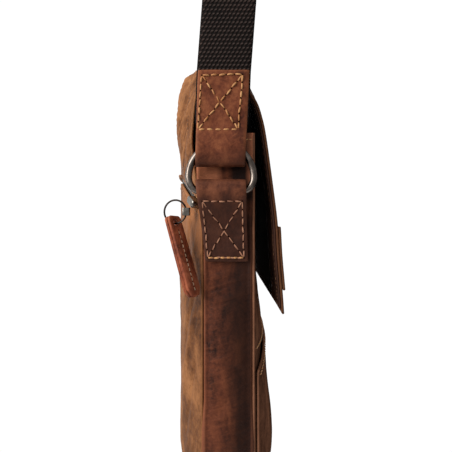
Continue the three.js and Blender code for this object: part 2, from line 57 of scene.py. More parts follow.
HANG = ARCH_SPRING + STRAP_PLANE - WEBBING / 2
WEBBING_END = 296.0
TAB_TOP = 334.5
TAB_FOLD = 263.2
RING_LEVEL = 255.5
RING_SHIFT = 5.1
RING_HALF_WIDTH = 24.4
RING_ARCH = 25.2
RING_DROP = 10.4
RING_CORNER = 8.5
RING_WIRE = 5.2
CHAPE_TOP = 254.0
CHAPE_BOTTOM = 192.5
ZIP_SLOT = 8.0
ZIP_TAPE_DEPTH = -3.4
ZIP_TEETH_TOP = -1.7
POCKET_MOUTH_EDGE = 107.0
POCKET_MOUTH_MIDDLE = 121.0
POCKET_GAP = 0.8
SLIDER_SHARE = 0.955
SLIDER_HEIGHT = 7.0
PULL_RING = 9.1
PULL_RING_WIRE = 1.5
PULL_LENGTH = 65.0
PULL_WIDTH = 14.5
PULL_THICKNESS = 5.0
PULL_CORNER = 3.4
PULL_HOLE = 3.5
HOLE_BELOW_TOP = 6.0
HANG_ANGLE = 6.0
THREAD_PITCH = 3.06
THREAD_ROW = 3.2
NEEDLE_HOLE = 0.62
PANEL_FOOT = 0.3
COLLAR_FOOT = 262.0
COLLAR_TOP = 305.0
COLLAR_CORNER = 12.0
TOOTH_PITCH = 1.25
TOOTH_OFF_MIDDLE = 0.95
TOOTH_HALF_SIZES = (0.45, 1.45, 0.62)

# The photograph's camera, in the same millimetres.
CAMERA_X = -520.0
CAMERA_Z = 219.0
FOCAL_PIXELS = 443.0
PHOTO_WIDTH = 452.0
VANISHING_COLUMN = 228.0

BULGE_HEIGHTS = (0.0, 0.1, 0.19, 0.3, 0.4, 0.44, 0.5, 0.55, 0.62, 0.8, 1.0)
BULGE_FRONT = (20.0, 20.0, 17.6, 13.8, 11.4, 12.6, 10.2, 8.0, 5.2, 2.4, 1.6)
BULGE_BACK = 26.7

# Flap and back yoke, one row per line across the bag:
# depth and height at the side edge, near it and at mid width.
FLAP_ROWS = np.array(
    [
        (24.2, 237.0, 35.0, 246.0, 46.8, 266.0),
        (28.0, 262.0, 37.5, 268.0, 47.2, 283.0),
        (28.8, 282.0, 38.5, 287.0, 47.2, 298.0),
        (27.5, 303.0, 38.6, 309.0, 46.8, 318.0),
        (25.3, 322.0, 38.4, 330.4, 45.2, 338.0),
        (21.9, 336.4, 34.6, 344.8, 38.5, 352.4),
        (12.2, 344.0, 21.0, 351.6, 22.4, 358.6),
        (0.0, 342.5, 4.0, 350.5, 3.0, 358.5),
        (-9.2, 334.5, -10.0, 342.0, -14.0, 351.0),
        (-17.4, 321.5, -18.8, 328.0, -23.6, 337.0),
        (-22.4, 314.0, -23.4, 318.0, -27.8, 325.0),
        (-25.9, 304.0, -26.2, 306.0, -29.8, 311.0),
        (-29.2, 289.0, -29.0, 290.0, -31.6, 294.0),
        (-34.4, 252.0, -33.2, 253.0, -34.0, 256.0),
        (-38.1, 222.0, -36.4, 222.0, -35.8, 224.0),
        (-39.7, 196.0, -38.0, 196.0, -37.0, 198.0),
        (-41.9, 170.0, -40.2, 170.5, -39.0, 172.0),
        (-43.2, 152.0, -41.4, 155.4, -40.4, 156.8),
    ]
)
LAST_ROW = len(FLAP_ROWS) - 1
LINING_FIRST_ROW = 5.0
LINING_LAST_ROW = LAST_ROW - 0.25
OVERLAY_FIRST_ROW = 14.15
OVERLAY_LAST_ROW = 16.0
FACING_SHARE = math.sin(math.pi / 2 * 4 / 7)


def metres(points):
    """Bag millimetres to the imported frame."""
    moved = np.array(points, float)
    moved[..., 2] -= HANG
    return moved / 1000.0


# Materials


class Nodes:
    """Short calls for building the nodes of a material or a world."""

    def __init__(self, owner):
        owner.use_nodes = True
        self.owner = owner
        self.tree = owner.node_tree

    def new(self, kind, settings=None, **sockets):
        """A node with its settings and its input sockets."""
        node = self.tree.nodes.new(kind)
        for key, value in (settings or {}).items():
            setattr(node, key, value)
        self.fill(node, sockets)
        return node

    def fill(self, node, sockets):
        """Links or sets input sockets, given by number or by name with _ for each space."""
        for name, value in sockets.items():
            socket = node.inputs[name if isinstance(name, int) else name.replace("_", " ")]
            if isinstance(value, bpy.types.NodeSocket):
                self.tree.links.new(value, socket)
            elif isinstance(value, tuple) and socket.type == "RGBA":
                socket.default_value = (*value, 1.0)
            elif value is not None:
                socket.default_value = value

    def place(self, scale=(1, 1, 1), offset=(0, 0, 0), turn=(0, 0, 0), uv=False, way="POINT"):
        source = self.new("ShaderNodeTexCoord").outputs["UV" if uv else "Object"]
        mapping = self.new("ShaderNodeMapping", {"vector_type": way}, Vector=source, Scale=scale,
                           Location=offset, Rotation=turn)
        return mapping.outputs["Vector"]

    def drawn_out(self, stretch, turn):
        """Coordinates drawn out along one direction: the height, turned."""
        return self.place((1, 1, stretch), turn=turn, way="TEXTURE")

    def axes(self, vector):
        return self.new("ShaderNodeSeparateXYZ", Vector=vector).outputs

    def noise(self, vector, scale, detail=4.0, rough=0.5, twist=0.0):
        node = self.new("ShaderNodeTexNoise", Vector=vector, Scale=scale, Detail=detail,
                        Roughness=rough, Distortion=twist)
        return node.outputs["Fac"]

    def cells(self, vector, scale, feature="F1"):
        node = self.new("ShaderNodeTexVoronoi", {"feature": feature}, Vector=vector, Scale=scale)
        return node.outputs["Distance"]

    def ramp(self, value, stops):
        node = self.new("ShaderNodeValToRGB", Fac=value)
        elements = node.color_ramp.elements
        while len(elements) < len(stops):
            elements.new(0.5)
        for element, (place, colour) in zip(elements, stops):
            element.position = place
            element.color = (*colour, 1.0)
        return node.outputs["Color"]

    def spread(self, value, low, high, to_low=0.0, to_high=1.0, way="LINEAR"):
        node = self.new("ShaderNodeMapRange", {"interpolation_type": way}, Value=value, From_Min=low,
                        From_Max=high, To_Min=to_low, To_Max=to_high)
        return node.outputs["Result"]

    def math(self, operation, first, second=None):
        node = self.new("ShaderNodeMath", {"operation": operation})
        self.fill(node, {0: first, 1: second})
        return node.outputs["Value"]

    def mix(self, factor, first, second):
        node = self.new("ShaderNodeMix", {"data_type": "RGBA"}, Factor=factor, A=first, B=second)
        return node.outputs["Result"]

    def bump(self, height, strength, distance, under=None):
        node = self.new("ShaderNodeBump", Height=height, Strength=strength, Distance=distance, Normal=under)
        return node.outputs["Normal"]

    def finish(self, colour, roughness, normal=None, **sockets):
        sockets.update(Base_Color=colour, Roughness=roughness, Normal=normal)
        self.fill(self.tree.nodes["Principled BSDF"], sockets)
        return self.owner


def linear(red, green, blue):
    """A colour seen on screen, 0 to 255, as linear light."""
    shares = (red / 255.0, green / 255.0, blue / 255.0)
    return tuple(s / 12.92 if s <= 0.04045 else ((s + 0.055) / 1.055) ** 2.4 for s in shares)


def leather_material(name, dark, middle, light, seed, patch, painted_light_and_tone_bands=(), wear=0.5, shine=0.56, flow=0.5,
                     gloss=0.16, folds=None):
    """Waxed leather: clouds of dark and rubbed colour, creases, scratches and a fine grain.

    Each band of painted light, painted shade or the leather's own tone is an axis, the places along it
    where it starts and is full, its colour, the heights at which it is full and gone, its strength and how
    far its border wavers.
    flow squeezes the clouds along the height, so that they run up and down.
    folds is the turn from upright, the number per metre and the strength of long fine wrinkles."""
    n = Nodes(bpy.data.materials.new(name))
    dark, middle, light = linear(*dark), linear(*middle), linear(*light)
    place = n.place(offset=(seed, seed * 0.37, seed * 0.71))
    tall = n.place(scale=(1.0, 1.0, flow), offset=(seed, seed, -seed))
    clouds = n.noise(tall, patch, 8.0, 0.6, 0.7)
    mottle = n.noise(tall, patch * 6, 6.0, 0.65, 0.5)
    speckle = n.noise(place, 420.0, 4.0, 0.65)
    blend = n.math("ADD", n.math("MULTIPLY", clouds, 0.52), n.math("MULTIPLY", mottle, 0.3))
    blend = n.math("ADD", blend, n.math("MULTIPLY", speckle, 0.18))
    colour = n.ramp(blend, [(0.4, dark), (0.5, middle), (0.62, light)])
    scuffs = n.noise(n.drawn_out(6.0, (0.9, 0.5, 0.0)), 420.0, 3.0, 0.6)
    colour = n.mix(n.spread(scuffs, 0.6, 0.74, 0.0, 0.4), colour, light)
    marks = n.noise(n.drawn_out(5.0, (-1.2, 0.3, 0.0)), 300.0, 3.0, 0.6)
    colour = n.mix(n.spread(marks, 0.6, 0.74, 0.0, 0.4), colour, dark)
    raised = n.new("ShaderNodeNewGeometry").outputs["Pointiness"]
    colour = n.mix(n.spread(raised, 0.505, 0.56, 0.0, wear), colour, light)
    normal = None
    if folds is not None:
        turn, often, amount = folds
        lines = n.noise(n.drawn_out(14.0, turn), often, 3.0, 0.6, 0.25)
        # Painted highlight along the wrinkle lines and painted shade beside them, together with their bump.
        colour = n.mix(n.spread(lines, 0.52, 0.66, 0.0, amount), colour, light)
        colour = n.mix(n.spread(lines, 0.46, 0.34, 0.0, 0.45 * amount), colour, dark)
        normal = n.bump(lines, 0.9, 0.004 * amount)
    axes = n.axes(n.place())
    # Bands of painted light and painted shade by place, and a few of the leather's own lighter seam tone.
    for axis, bright, full, tone, lowest, highest, strength, waver in painted_light_and_tone_bands:
        border = n.math("ADD", axes[axis], n.spread(clouds, 0.3, 0.7, -waver, waver))
        cover = n.math("MULTIPLY", n.spread(border, full, bright, 1.0, 0.0),
                       n.spread(axes["Z"], lowest, highest, 1.0, 0.0))
        colour = n.mix(n.math("MULTIPLY", cover, strength), colour, linear(*tone))
    creases = n.cells(n.place(scale=(1.0, 1.0, 1.7), turn=(0.2, 0.5, 0.1)), 170.0, "DISTANCE_TO_EDGE")
    grain = n.cells(place, 1150.0)
    fine = n.noise(place, 2600.0, 3.0, 0.6)
    for height, strength, distance in (
        (n.spread(creases, 0.0, 0.3), 0.07, 0.0003),
        (mottle, 0.3, 0.0009),
        (marks, 0.25, 0.0004),
        (grain, 0.3, 0.0002),
        (fine, 0.18, 0.0001),
    ):
        normal = n.bump(height, strength, distance, normal)
    rough = n.spread(blend, 0.4, 0.62, shine - 0.08, shine + 0.14)
    return n.finish(colour, rough, normal, Specular_IOR_Level=gloss)


def cloth_material(name, low, high, scale):
    """Plain weave: two crossed sets of ribs."""
    n = Nodes(bpy.data.materials.new(name))
    low, high = linear(*low), linear(*high)
    place = n.place(uv=True)
    ribs = []
    for axis in "XY":
        wave = n.new("ShaderNodeTexWave", {"bands_direction": axis}, Vector=place, Scale=scale,
                     Distortion=0.4)
        ribs.append(wave.outputs["Fac"])
    crossed = n.math("MULTIPLY", *ribs)
    cloud = n.noise(n.place(), 40.0, 5.0, 0.6)
    colour = n.mix(n.spread(cloud, 0.3, 0.7), low, high)
    colour = n.mix(n.spread(crossed, 0.0, 1.0, 0.5, 0.0), colour, tuple(0.5 * c for c in low))
    return n.finish(colour, 0.92, n.bump(crossed, 0.5, 0.0002), Specular_IOR_Level=0.2)


def webbing_material():
    """Coarse webbing: rows of slanted thread bumps, each row shifted by half a bump, with painted shade
    between the bumps and a painted highlight streak on each.
    """
    n = Nodes(bpy.data.materials.new("webbing_weave"))

    def oval(across, half_width, along, half_length):
        """Squared distance from the middle of a bump, 1 on its border."""
        return n.math("ADD", n.math("POWER", n.math("DIVIDE", across, half_width), 2.0),
                      n.math("POWER", n.math("DIVIDE", along, half_length), 2.0))

    axes = n.axes(n.place(uv=True))
    rows = n.math("DIVIDE", axes["X"], THREAD_ROW)
    odd = n.math("MODULO", n.math("FLOOR", rows), 2.0)
    bumps = n.math("ADD", n.math("DIVIDE", axes["Y"], THREAD_PITCH), n.math("MULTIPLY", odd, 0.5))
    along = n.math("SUBTRACT", n.math("FRACT", rows), 0.5)
    across = n.math("SUBTRACT", n.math("FRACT", bumps), 0.5)
    slanted = n.math("ADD", across, n.math("MULTIPLY", along, 0.55))
    far = oval(slanted, 0.47, along, 0.56)
    height = n.math("SQRT", n.math("MAXIMUM", n.math("SUBTRACT", 1.0, far), 0.0))
    painted_glint = oval(n.math("ADD", slanted, 0.04), 0.3, n.math("ADD", along, -0.06), 0.2)
    fibres = n.noise(n.place(scale=(1.0, 3.0, 1.0), turn=(0.6, 0.0, 0.0)), 2200.0, 3.0, 0.6)
    tone = n.noise(n.place(), 70.0, 4.0, 0.6)
    colour = n.mix(n.spread(tone, 0.35, 0.7), linear(26, 15, 13), linear(42, 28, 24))
    colour = n.mix(n.spread(fibres, 0.55, 0.75, 0.0, 0.45), colour, linear(88, 74, 68))
    # Painted shade in the gaps between the bumps.
    colour = n.mix(n.spread(height, 0.15, 0.85, 0.95, 0.0), colour, linear(7, 5, 4))
    # Painted highlight: a light streak near the top of each bump.
    colour = n.mix(n.spread(painted_glint, 0.2, 1.2, 0.5, 0.0), colour, linear(96, 84, 78))
    normal = n.bump(fibres, 0.5, 0.0002, n.bump(height, 1.0, 0.0011))
    return n.finish(colour, 0.66, normal, Specular_IOR_Level=0.12)


def metal_material(name, dark, light, roughness):
    n = Nodes(bpy.data.materials.new(name))
    cloud = n.noise(n.place(), 130.0, 5.0, 0.6)
    colour = n.ramp(cloud, [(0.35, linear(*dark)), (0.65, linear(*light))])
    scratches = n.noise(n.place(scale=(1.0, 1.0, 0.1), turn=(0.4, 0.3, 0.2)), 1800.0, 2.0, 0.6)
    rough = n.spread(cloud, 0.3, 0.7, roughness - 0.05, roughness + 0.12)
    return n.finish(colour, rough, n.bump(scratches, 0.08, 0.0001), Metallic=1.0)


def thread_material(name, dark, light):
    n = Nodes(bpy.data.materials.new(name))
    strands = n.noise(n.place(turn=(0.5, 0.5, 0.0)), 2600.0, 2.0, 0.5)
    tone = n.noise(n.place(), 160.0, 3.0, 0.5)
    colour = n.mix(n.spread(tone, 0.35, 0.7), linear(*dark), linear(*light))
    return n.finish(colour, 0.55, n.bump(strands, 0.4, 0.00012), Specular_IOR_Level=0.4)


def hole_material():
    """Matt dark brown of a needle hole and of the pull's seam."""
    n = Nodes(bpy.data.materials.new("needle_hole"))
    cloud = n.noise(n.place(), 900.0, 3.0, 0.5)
    colour = n.mix(cloud, linear(22, 9, 5), linear(44, 20, 12))
    return n.finish(colour, 0.95, Specular_IOR_Level=0.0)


MATERIALS = {
    "red": leather_material(
        "leather_red", (70, 32, 20), (115, 61, 39), (156, 94, 60), 1.3, 26.0,
        # Painted shade: the underside of the loop round the ring is darker.
        [("Z", -0.444, -0.459, (56, 27, 17), 1.0, 2.0, 0.75, 0.007)], flow=0.8
    ),
    "chape": leather_material(
        "leather_side_tab", (42, 22, 16), (92, 50, 34), (128, 76, 52), 3.1, 30.0,
        # Painted shade: darker below the lit top of the loop round the ring.
        [("Z", -0.475, -0.482, (54, 30, 22), 1.0, 2.0, 0.75, 0.007)], flow=0.8
    ),
    "gusset": leather_material(
        "leather_gusset", (36, 17, 11), (92, 47, 30), (130, 72, 46), 7.7, 17.0,
        [
            # Painted shade low on the front side, together with the leather's own dark patches there.
            ("Y", 0.008, -0.006, (20, 10, 7), -0.5, -0.475, 0.8, 0.007),
            ("Y", 0.0171, 0.0182, (168, 104, 74), -0.53, -0.5, 0.3, 0.0),
            # Painted light: a lit patch high on the back side, seen between the ring loops.
            ("Y", 0.004, 0.009, (232, 146, 104), -0.482, -0.492, 0.55, 0.001),
            ("Y", -0.0168, -0.018, (128, 78, 56), -0.53, -0.5, 0.4, 0.0),
            # Painted shadow on the upper front side, seen between the ring loops.
            ("Y", 0.001, -0.004, (16, 7, 5), -0.48, -0.488, 0.9, 0.001),
            # Painted light on the upper strip along the front edge.
            ("Y", -0.013, -0.018, (212, 132, 96), -0.46, -0.475, 0.8, 0.001),
        ],
        folds=((1.3, 0.0, 0.0), 260.0, 0.22)
    ),
    "tan": leather_material(
        "leather_tan", (82, 50, 30), (130, 84, 52), (178, 124, 82), 12.4, 18.0,
        # Painted shade: the front side of the flap is darker.
        [("Y", 0.012, -0.012, (62, 33, 23), 1.0, 2.0, 0.8, 0.007)], flow=1.0, gloss=0.08,
        folds=((0.25, -0.6, 0.0), 240.0, 0.45)
    ),
    "back": leather_material(
        "leather_back", (66, 40, 25), (110, 70, 43), (158, 108, 70), 21.6, 15.0,
        # Painted light: lighter below the zip towards the end at negative X.
        [("X", -0.115, -0.165, (204, 136, 88), -0.493, -0.53, 0.45, 0.006)], flow=0.9, gloss=0.05,
        folds=((0.1, -0.2, 0.0), 130.0, 0.22)
    ),
    "facing": leather_material("leather_facing", (20, 12, 9), (40, 23, 17), (70, 42, 31), 61.6, 20.0),
    "dark": leather_material(
        "leather_dark", (76, 50, 38), (122, 82, 62), (156, 108, 82), 31.5, 14.0, shine=0.8, gloss=0.0
    ),
    "pull": leather_material(
        "leather_pull", (84, 40, 27), (146, 76, 51), (190, 114, 80), 41.5, 40.0, wear=0.1
    ),
    "black": cloth_material("black_lining", (8, 6, 5), (16, 12, 11), 0.35),
    "webbing": webbing_material(),
    "zip_cloth": cloth_material("zip_tape_cloth", (44, 40, 36), (78, 72, 64), 0.4),
    "ring": metal_material("ring_metal", (92, 82, 76), (140, 130, 122), 0.22),
    "zip": metal_material("zip_metal", (120, 114, 106), (170, 164, 156), 0.24),
    "wire": metal_material("wire_metal", (40, 36, 34), (66, 60, 56), 0.3),
    "thread": thread_material("thread_tan", (176, 116, 66), (222, 168, 112)),
    "thread_pink": thread_material("thread_brown", (148, 98, 74), (186, 134, 104)),
    "thread_cream": thread_material("thread_cream", (186, 152, 122), (232, 204, 174)),
    "thread_lip": thread_material("thread_lip", (140, 96, 60), (196, 146, 100)),
    "thread_dim": thread_material("thread_dim", (96, 62, 42), (142, 98, 68)),
    "hole": hole_material(),
}


# Mesh helpers


def declare(obj, nodes):
    """Puts an object into the scene, on the body root, and hides the nodes it replaces."""
    bpy.context.scene.collection.objects.link(obj)
    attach(obj, "root")
    if nodes:
        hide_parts(*nodes)
    return obj


def add_object(name, vertices, faces, material, nodes=(), uvs=None, smooth=True):
    """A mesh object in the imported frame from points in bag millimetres."""
    mesh = bpy.data.meshes.new(name)
    mesh.from_pydata(metres(vertices).tolist(), [], [tuple(int(i) for i in f) for f in faces])
    mesh.update()
    if uvs is not None:
        layer = mesh.uv_layers.new(name="flat")
        loops = np.zeros(len(mesh.loops), int)
        mesh.loops.foreach_get("vertex_index", loops)
        layer.data.foreach_set("uv", np.asarray(uvs, float)[loops].ravel())
    mesh.polygons.foreach_set("use_smooth", [smooth] * len(mesh.polygons))
    mesh.materials.append(MATERIALS[material])
    return declare(bpy.data.objects.new(name, mesh), nodes)


def unit(vector):
    vector = np.array(vector, float)
    return vector / np.linalg.norm(vector)


def units(vectors):
    """Vectors brought to length 1 along the last axis."""
    return vectors / np.maximum(np.linalg.norm(vectors, axis=-1, keepdims=True), 1e-9)


def crossed(first, second):
    """Two grids that pair each value of the first row with each of the second."""
    return np.meshgrid(first, second, indexing="ij")


def point_grid(x, y, z):
    return np.stack(np.broadcast_arrays(x, y, z), -1)


def run_along(line):
    """Distance along a line of points, from its first to each of them."""
    return np.concatenate([[0], np.cumsum(np.linalg.norm(np.diff(line, axis=0), axis=1))])


def grid_normals(points):
    """Unit normals of a grid of points, shape (rows, columns, 3)."""
    return units(np.cross(np.gradient(points, axis=0), np.gradient(points, axis=1)))


def wall_mesh(points, outer, inner, lift=None):
    """A wall with rounded edges over a grid. lift moves both faces along the normal."""
    round_steps = 2
    edge_swell = 0.7
    normals = grid_normals(points)
    if lift is not None:
        points = points + normals * lift[..., None]
        normals = grid_normals(points)
    rows, columns = points.shape[:2]
    vertices = [(points + normals * level).reshape(-1, 3) for level in (outer, inner)]
    index = np.arange(rows * columns).reshape(rows, columns)
    a, b = index[:-1, :-1].ravel(), index[1:, :-1].ravel()
    c, d = index[1:, 1:].ravel(), index[:-1, 1:].ravel()
    layer = rows * columns
    faces = [np.stack([a, b, c, d], 1), np.stack([d, c, b, a], 1) + layer]
    border = np.concatenate([index[:, 0], index[-1, 1:], index[-2::-1, -1], index[0, -2:0:-1]])
    inside_rows = np.clip(border // columns, 1, rows - 2)
    inside_columns = np.clip(border % columns, 1, columns - 2)
    flat = points.reshape(-1, 3)
    aside = flat[border] - flat[inside_rows * columns + inside_columns]
    normal = normals.reshape(-1, 3)[border]
    aside = units(aside - normal * np.sum(aside * normal, axis=1, keepdims=True))
    middle = flat[border] + normal * (outer + inner) / 2
    half = (outer - inner) / 2
    rings = [border]
    for step in range(1, round_steps + 1):
        angle = math.pi * step / (round_steps + 1)
        rings.append(sum(len(v) for v in vertices) + np.arange(len(border)))
        across = normal * half * math.cos(angle)
        vertices.append(middle + across + aside * half * edge_swell * math.sin(angle))
    rings.append(border + layer)
    for upper, lower in zip(rings, rings[1:]):
        faces.append(np.stack([np.roll(upper, -1), upper, lower, np.roll(lower, -1)], 1))
    return np.concatenate(vertices), np.concatenate(faces)


def wall(name, points, outer, inner, material, nodes, lift=None, with_uvs=False):
    """A piece of leather or cloth over a grid of points. Its UVs are millimetres on the flat sheet."""
    vertices, faces = wall_mesh(points, outer, inner, lift)
    uvs = None
    if with_uvs:
        steps = [np.linalg.norm(np.diff(points, axis=k), axis=2).mean(1 - k) for k in (0, 1)]
        down, over = (np.concatenate([[0], np.cumsum(step)]) for step in steps)
        grid = np.stack(crossed(down, over), 2).reshape(-1, 2)
        uvs = np.concatenate([grid, grid, np.zeros((len(vertices) - 2 * len(grid), 2))])
    return add_object(name, vertices, faces, material, nodes, uvs)


def ring_faces(rings, sides, closed=False):
    """Quads between neighbouring rings of vertices, and from the last ring to the first if closed."""
    faces = []
    for i in range(rings if closed else rings - 1):
        following = (i + 1) % rings
        for k in range(sides):
            turned = (k + 1) % sides
            first, second = i * sides, following * sides
            faces.append((first + k, first + turned, second + turned, second + k))
    return faces


def tube_mesh(path, radius, sides, normal):
    """Vertices and faces of a round tube along a closed path of points."""
    path = np.array(path, float)
    tangent = units(np.roll(path, -1, 0) - np.roll(path, 1, 0))
    side = units(np.cross(tangent, normal))
    up = np.cross(side, tangent)
    turns = (2 * math.pi * np.arange(sides) / sides)[None, :, None]
    ring = side[:, None] * np.cos(turns) + up[:, None] * np.sin(turns)
    return (path[:, None] + ring * radius).reshape(-1, 3), ring_faces(len(path), sides, True)


class Gather:
    """Collects many small meshes into one object."""

    def __init__(self):
        self.vertices = []
        self.faces = []
        self.count = 0

    def add(self, vertices, faces):
        self.vertices.append(np.asarray(vertices, float))
        self.faces.extend([tuple(i + self.count for i in face) for face in faces])
        self.count += len(vertices)

    def build(self, name, material, slot, nodes=(), smooth=True):
        vertices = np.concatenate(self.vertices)
        return add_object(name, vertices, self.faces, material, nodes, smooth=smooth)


def grain_of_thread(start, end, normal, width, height, rise=1.0):
    """One stitch that dips into the leather at both ends."""
    rings = 7
    sides = 8
    length = np.linalg.norm(end - start)
    run = (end - start) / length
    side = np.cross(normal, run)
    vertices = []
    for i in range(rings):
        share = i / (rings - 1)
        swell = math.sin(math.pi * (0.06 + 0.88 * share)) ** 0.45
        lift = height * rise * (math.sin(math.pi * share) ** 0.6 - 0.35)
        centre = start + run * length * share + normal * lift
        for k in range(sides):
            angle = 2 * math.pi * k / sides
            across = side * math.cos(angle) * width / 2 * swell
            vertices.append(centre + across + normal * math.sin(angle) * height / 2 * swell)
    faces = [(a, d, c, b) for a, b, c, d in ring_faces(rings, sides)]
    faces.append(tuple(range(sides)))
    faces.append(tuple((rings - 1) * sides + k for k in range(sides - 1, -1, -1)))
    return np.array(vertices), faces


def needle_hole(centre, normal, run):
    """A small dark dimple where the thread goes in."""
    side = np.cross(normal, run)
    sides = 8
    vertices = [centre + normal * 0.09]
    for ring, level in ((0.6, 0.08), (1.0, -0.05)):
        for k in range(sides):
            angle = 2 * math.pi * k / sides
            aside = (run * math.cos(angle) + side * math.sin(angle)) * NEEDLE_HOLE * ring
            vertices.append(centre + aside + normal * level)
    faces = [(0, 1 + k, 1 + (k + 1) % sides) for k in range(sides)]
    faces += [(a + 1, d + 1, c + 1, b + 1) for a, b, c, d in ring_faces(2, sides)]
    return np.array(vertices), faces


random = np.random.default_rng(20)


def stitch_row(threads, holes, start, end, count, normal, width, fill, surface=lambda point: point,
               wobble=0.12, height=0.7):
    """Stitches between two points, and a needle hole before each where holes are gathered.

    fill is a stitch's share of its pitch, and surface moves each point onto the leather."""
    start, end, normal = (np.array(v, float) for v in (start, end, normal))
    run = end - start
    along = unit(run)
    side = np.cross(normal, along)
    for i in range(count):
        shift = side * random.normal(0, wobble)
        lean = side * random.normal(0, wobble * 1.6)
        a = surface(start + run * (i + (1 - fill) / 2) / count + shift - lean)
        b = surface(start + run * (i + 1 - (1 - fill) / 2) / count + shift + lean)
        size = width * random.uniform(0.85, 1.15)
        threads.add(*grain_of_thread(a, b, normal, size, size * height))
        if holes is not None:
            gap = surface(start + run * i / count + shift * 0.5)
            holes.add(*needle_hole(gap, normal, along))


def stitch_line(threads, points, normals, width, fill=0.74, height=0.45):
    """One stitch between each two neighbours of a line of points."""
    for a, b, normal in zip(points, points[1:], normals):
        middle = (a + b) / 2
        size = width * random.uniform(0.85, 1.15)
        start, end = middle + (a - middle) * fill, middle + (b - middle) * fill
        threads.add(*grain_of_thread(start, end, normal, size, size * height, 0.6))


def smooth_through(values, rows):
    """Catmull-Rom values of a table at fractional row numbers."""
    padded = np.concatenate([[2 * values[0] - values[1]], values, [2 * values[-1] - values[-2]]])
    first = np.clip(np.floor(rows).astype(int), 0, len(values) - 2)
    p0, p1, p2, p3 = (padded[first + k] for k in range(4))
    t = rows - first
    if values.ndim > 1:
        t = t[..., None]
    square = (2 * p0 - 5 * p1 + 4 * p2 - p3) * t**2
    return 0.5 * (2 * p1 + (p2 - p0) * t + square + (3 * p1 - p0 - 3 * p2 + p3) * t**3)


def smooth_path(points, count):
    """Evenly spaced points on a smooth curve through the given ones."""
    points = np.array(points, float)
    spans = len(points) - 1
    parts = np.arange(spans)[:, None] + np.linspace(0, 1, 24, endpoint=False)
    fine = smooth_through(points, np.append(parts.ravel(), spans))
    run = run_along(fine)
    even = np.linspace(0, run[-1], count)
    return np.stack([np.interp(even, run, fine[:, k]) for k in range(2)], 1)


def noise_field(points, scale, seed):
    """Smooth seeded noise made of crossed waves, about -1 to 1. scale is in millimetres."""
    source = np.random.default_rng(seed)
    total = np.zeros(points.shape[:-1])
    for _ in range(9):
        direction = source.normal(size=3)
        direction /= np.linalg.norm(direction)
        wave = 2 * math.pi / (scale * source.uniform(0.6, 1.7))
        total += np.sin(points @ direction * wave + source.uniform(0, 2 * math.pi))
    return total / 4.0


def half_width_at(height):
    below = np.maximum(CORNER - height, 0)
    return HALF - CORNER + np.sqrt(np.maximum(CORNER**2 - below**2, 0))


def panel_depth(side, share, height):
    if side == "front":
        bulge = np.interp(height / HEM, BULGE_HEIGHTS, BULGE_FRONT)
    else:
        bulge = BULGE_BACK
    low = np.clip(1 - height / BOTTOM_ROUND, 0, 1)
    round_off = (1 - low**2.6) ** (1 / 2.6)
    return RIM + bulge * (1 - np.minimum(np.abs(share), 1) ** 4) * round_off


def zip_height(share):
    inward = np.clip((1 - np.abs(share)) / 0.42, 0, 1)
    return 233 + 29 * np.sin(math.pi / 2 * inward)


def panel_points(side, share, height):
    """Points on the front or back panel, at shares of its half width and at heights."""
    sign = -1 if side == "front" else 1
    return point_grid(share * half_width_at(height), sign * panel_depth(side, share, height), height)


def zip_points(share, offset=0.0):
    """Points along the back zip's line, or beside it by an offset in height."""
    height = zip_height(share) + offset
    return point_grid(share * HALF, panel_depth("back", share, height), height)


def flap_points(share, row):
    """Points on the flap, at shares of its half width and at rows of its table."""
    share, row = np.broadcast_arrays(share, row)
    away = np.minimum(np.abs(share), 1)
    edge = np.clip((away - 0.86) / 0.14, 0, 1) ** 1.3
    middle = np.cos(math.pi / 2 * np.minimum(away / 0.88, 1)) ** 0.55

    def value(offset):
        at_edge, near, at_middle = (smooth_through(FLAP_ROWS[:, k + offset], row) for k in (0, 2, 4))
        inside = near + (at_middle - near) * middle
        return inside + (at_edge - inside) * edge

    by_zip = np.clip(1 - row / 2, 0, 1)
    lip = zip_height(share) + ZIP_SLOT / 2
    y, z = value(0), value(1)
    y = y + (panel_depth("back", share, lip) - y) * by_zip
    z = z + (lip - z) * by_zip
    return point_grid(share * HALF, y, z)


def shares(count, reach=1.0):
    """Places across the bag from -1 to 1, closer together near the side edges."""
    return reach * np.sin(math.pi / 2 * np.linspace(-1, 1, count))


def ridge(points, table, axis, level):
    """Height of long creases on the plane where one coordinate has the given level.

    Each row: start and end in the other two coordinates, half width and height, all in millimetres."""
    total = np.zeros(points.shape[:-1])
    for *ends, width, height in table:
        start, end = (np.insert(np.array(ends[k : k + 2], float), axis, level) for k in (0, 2))
        run = end - start
        offset = points - start
        along = np.clip(offset @ run / np.linalg.norm(run) ** 2, -0.15, 1.15)
        away = np.linalg.norm(offset - along[..., None] * run, axis=-1)
        taper = np.clip(1.15 - np.abs(along - 0.5) * 2, 0, 1) ** 0.6
        total += height * taper * np.exp(-((away / width) ** 2))
    return total


def hump(value, middle, reach):
    """1 at the middle, fading out to both sides."""
    return np.exp(-(((value - middle) / reach) ** 2))


# Body


# Depth and height of the start and of the end, half width, height.
GUSSET_CREASES = [
    (17, 187, -10, 183, 1.2, -0.9),
    (9, 180, -17, 184, 1.1, 0.8),
    (4, 177, -17, 180, 1.0, -0.8),
    (16, 171, -2, 167, 1.3, -0.8),
    (12, 165, -6, 163, 1.1, 0.7),
    (8, 158, -16, 162, 1.3, -0.7),
    (17, 152, 2, 149, 1.3, -0.6),
    (17, 117, -15, 113, 2.0, 1.2),
    (15, 112, -17, 109, 1.5, -1.1),
    (14, 106, -8, 104, 1.3, 0.6),
    (-4, 92, 12, 70, 2.4, -0.7),
    (5, 62, -12, 50, 2.2, 0.6),
]


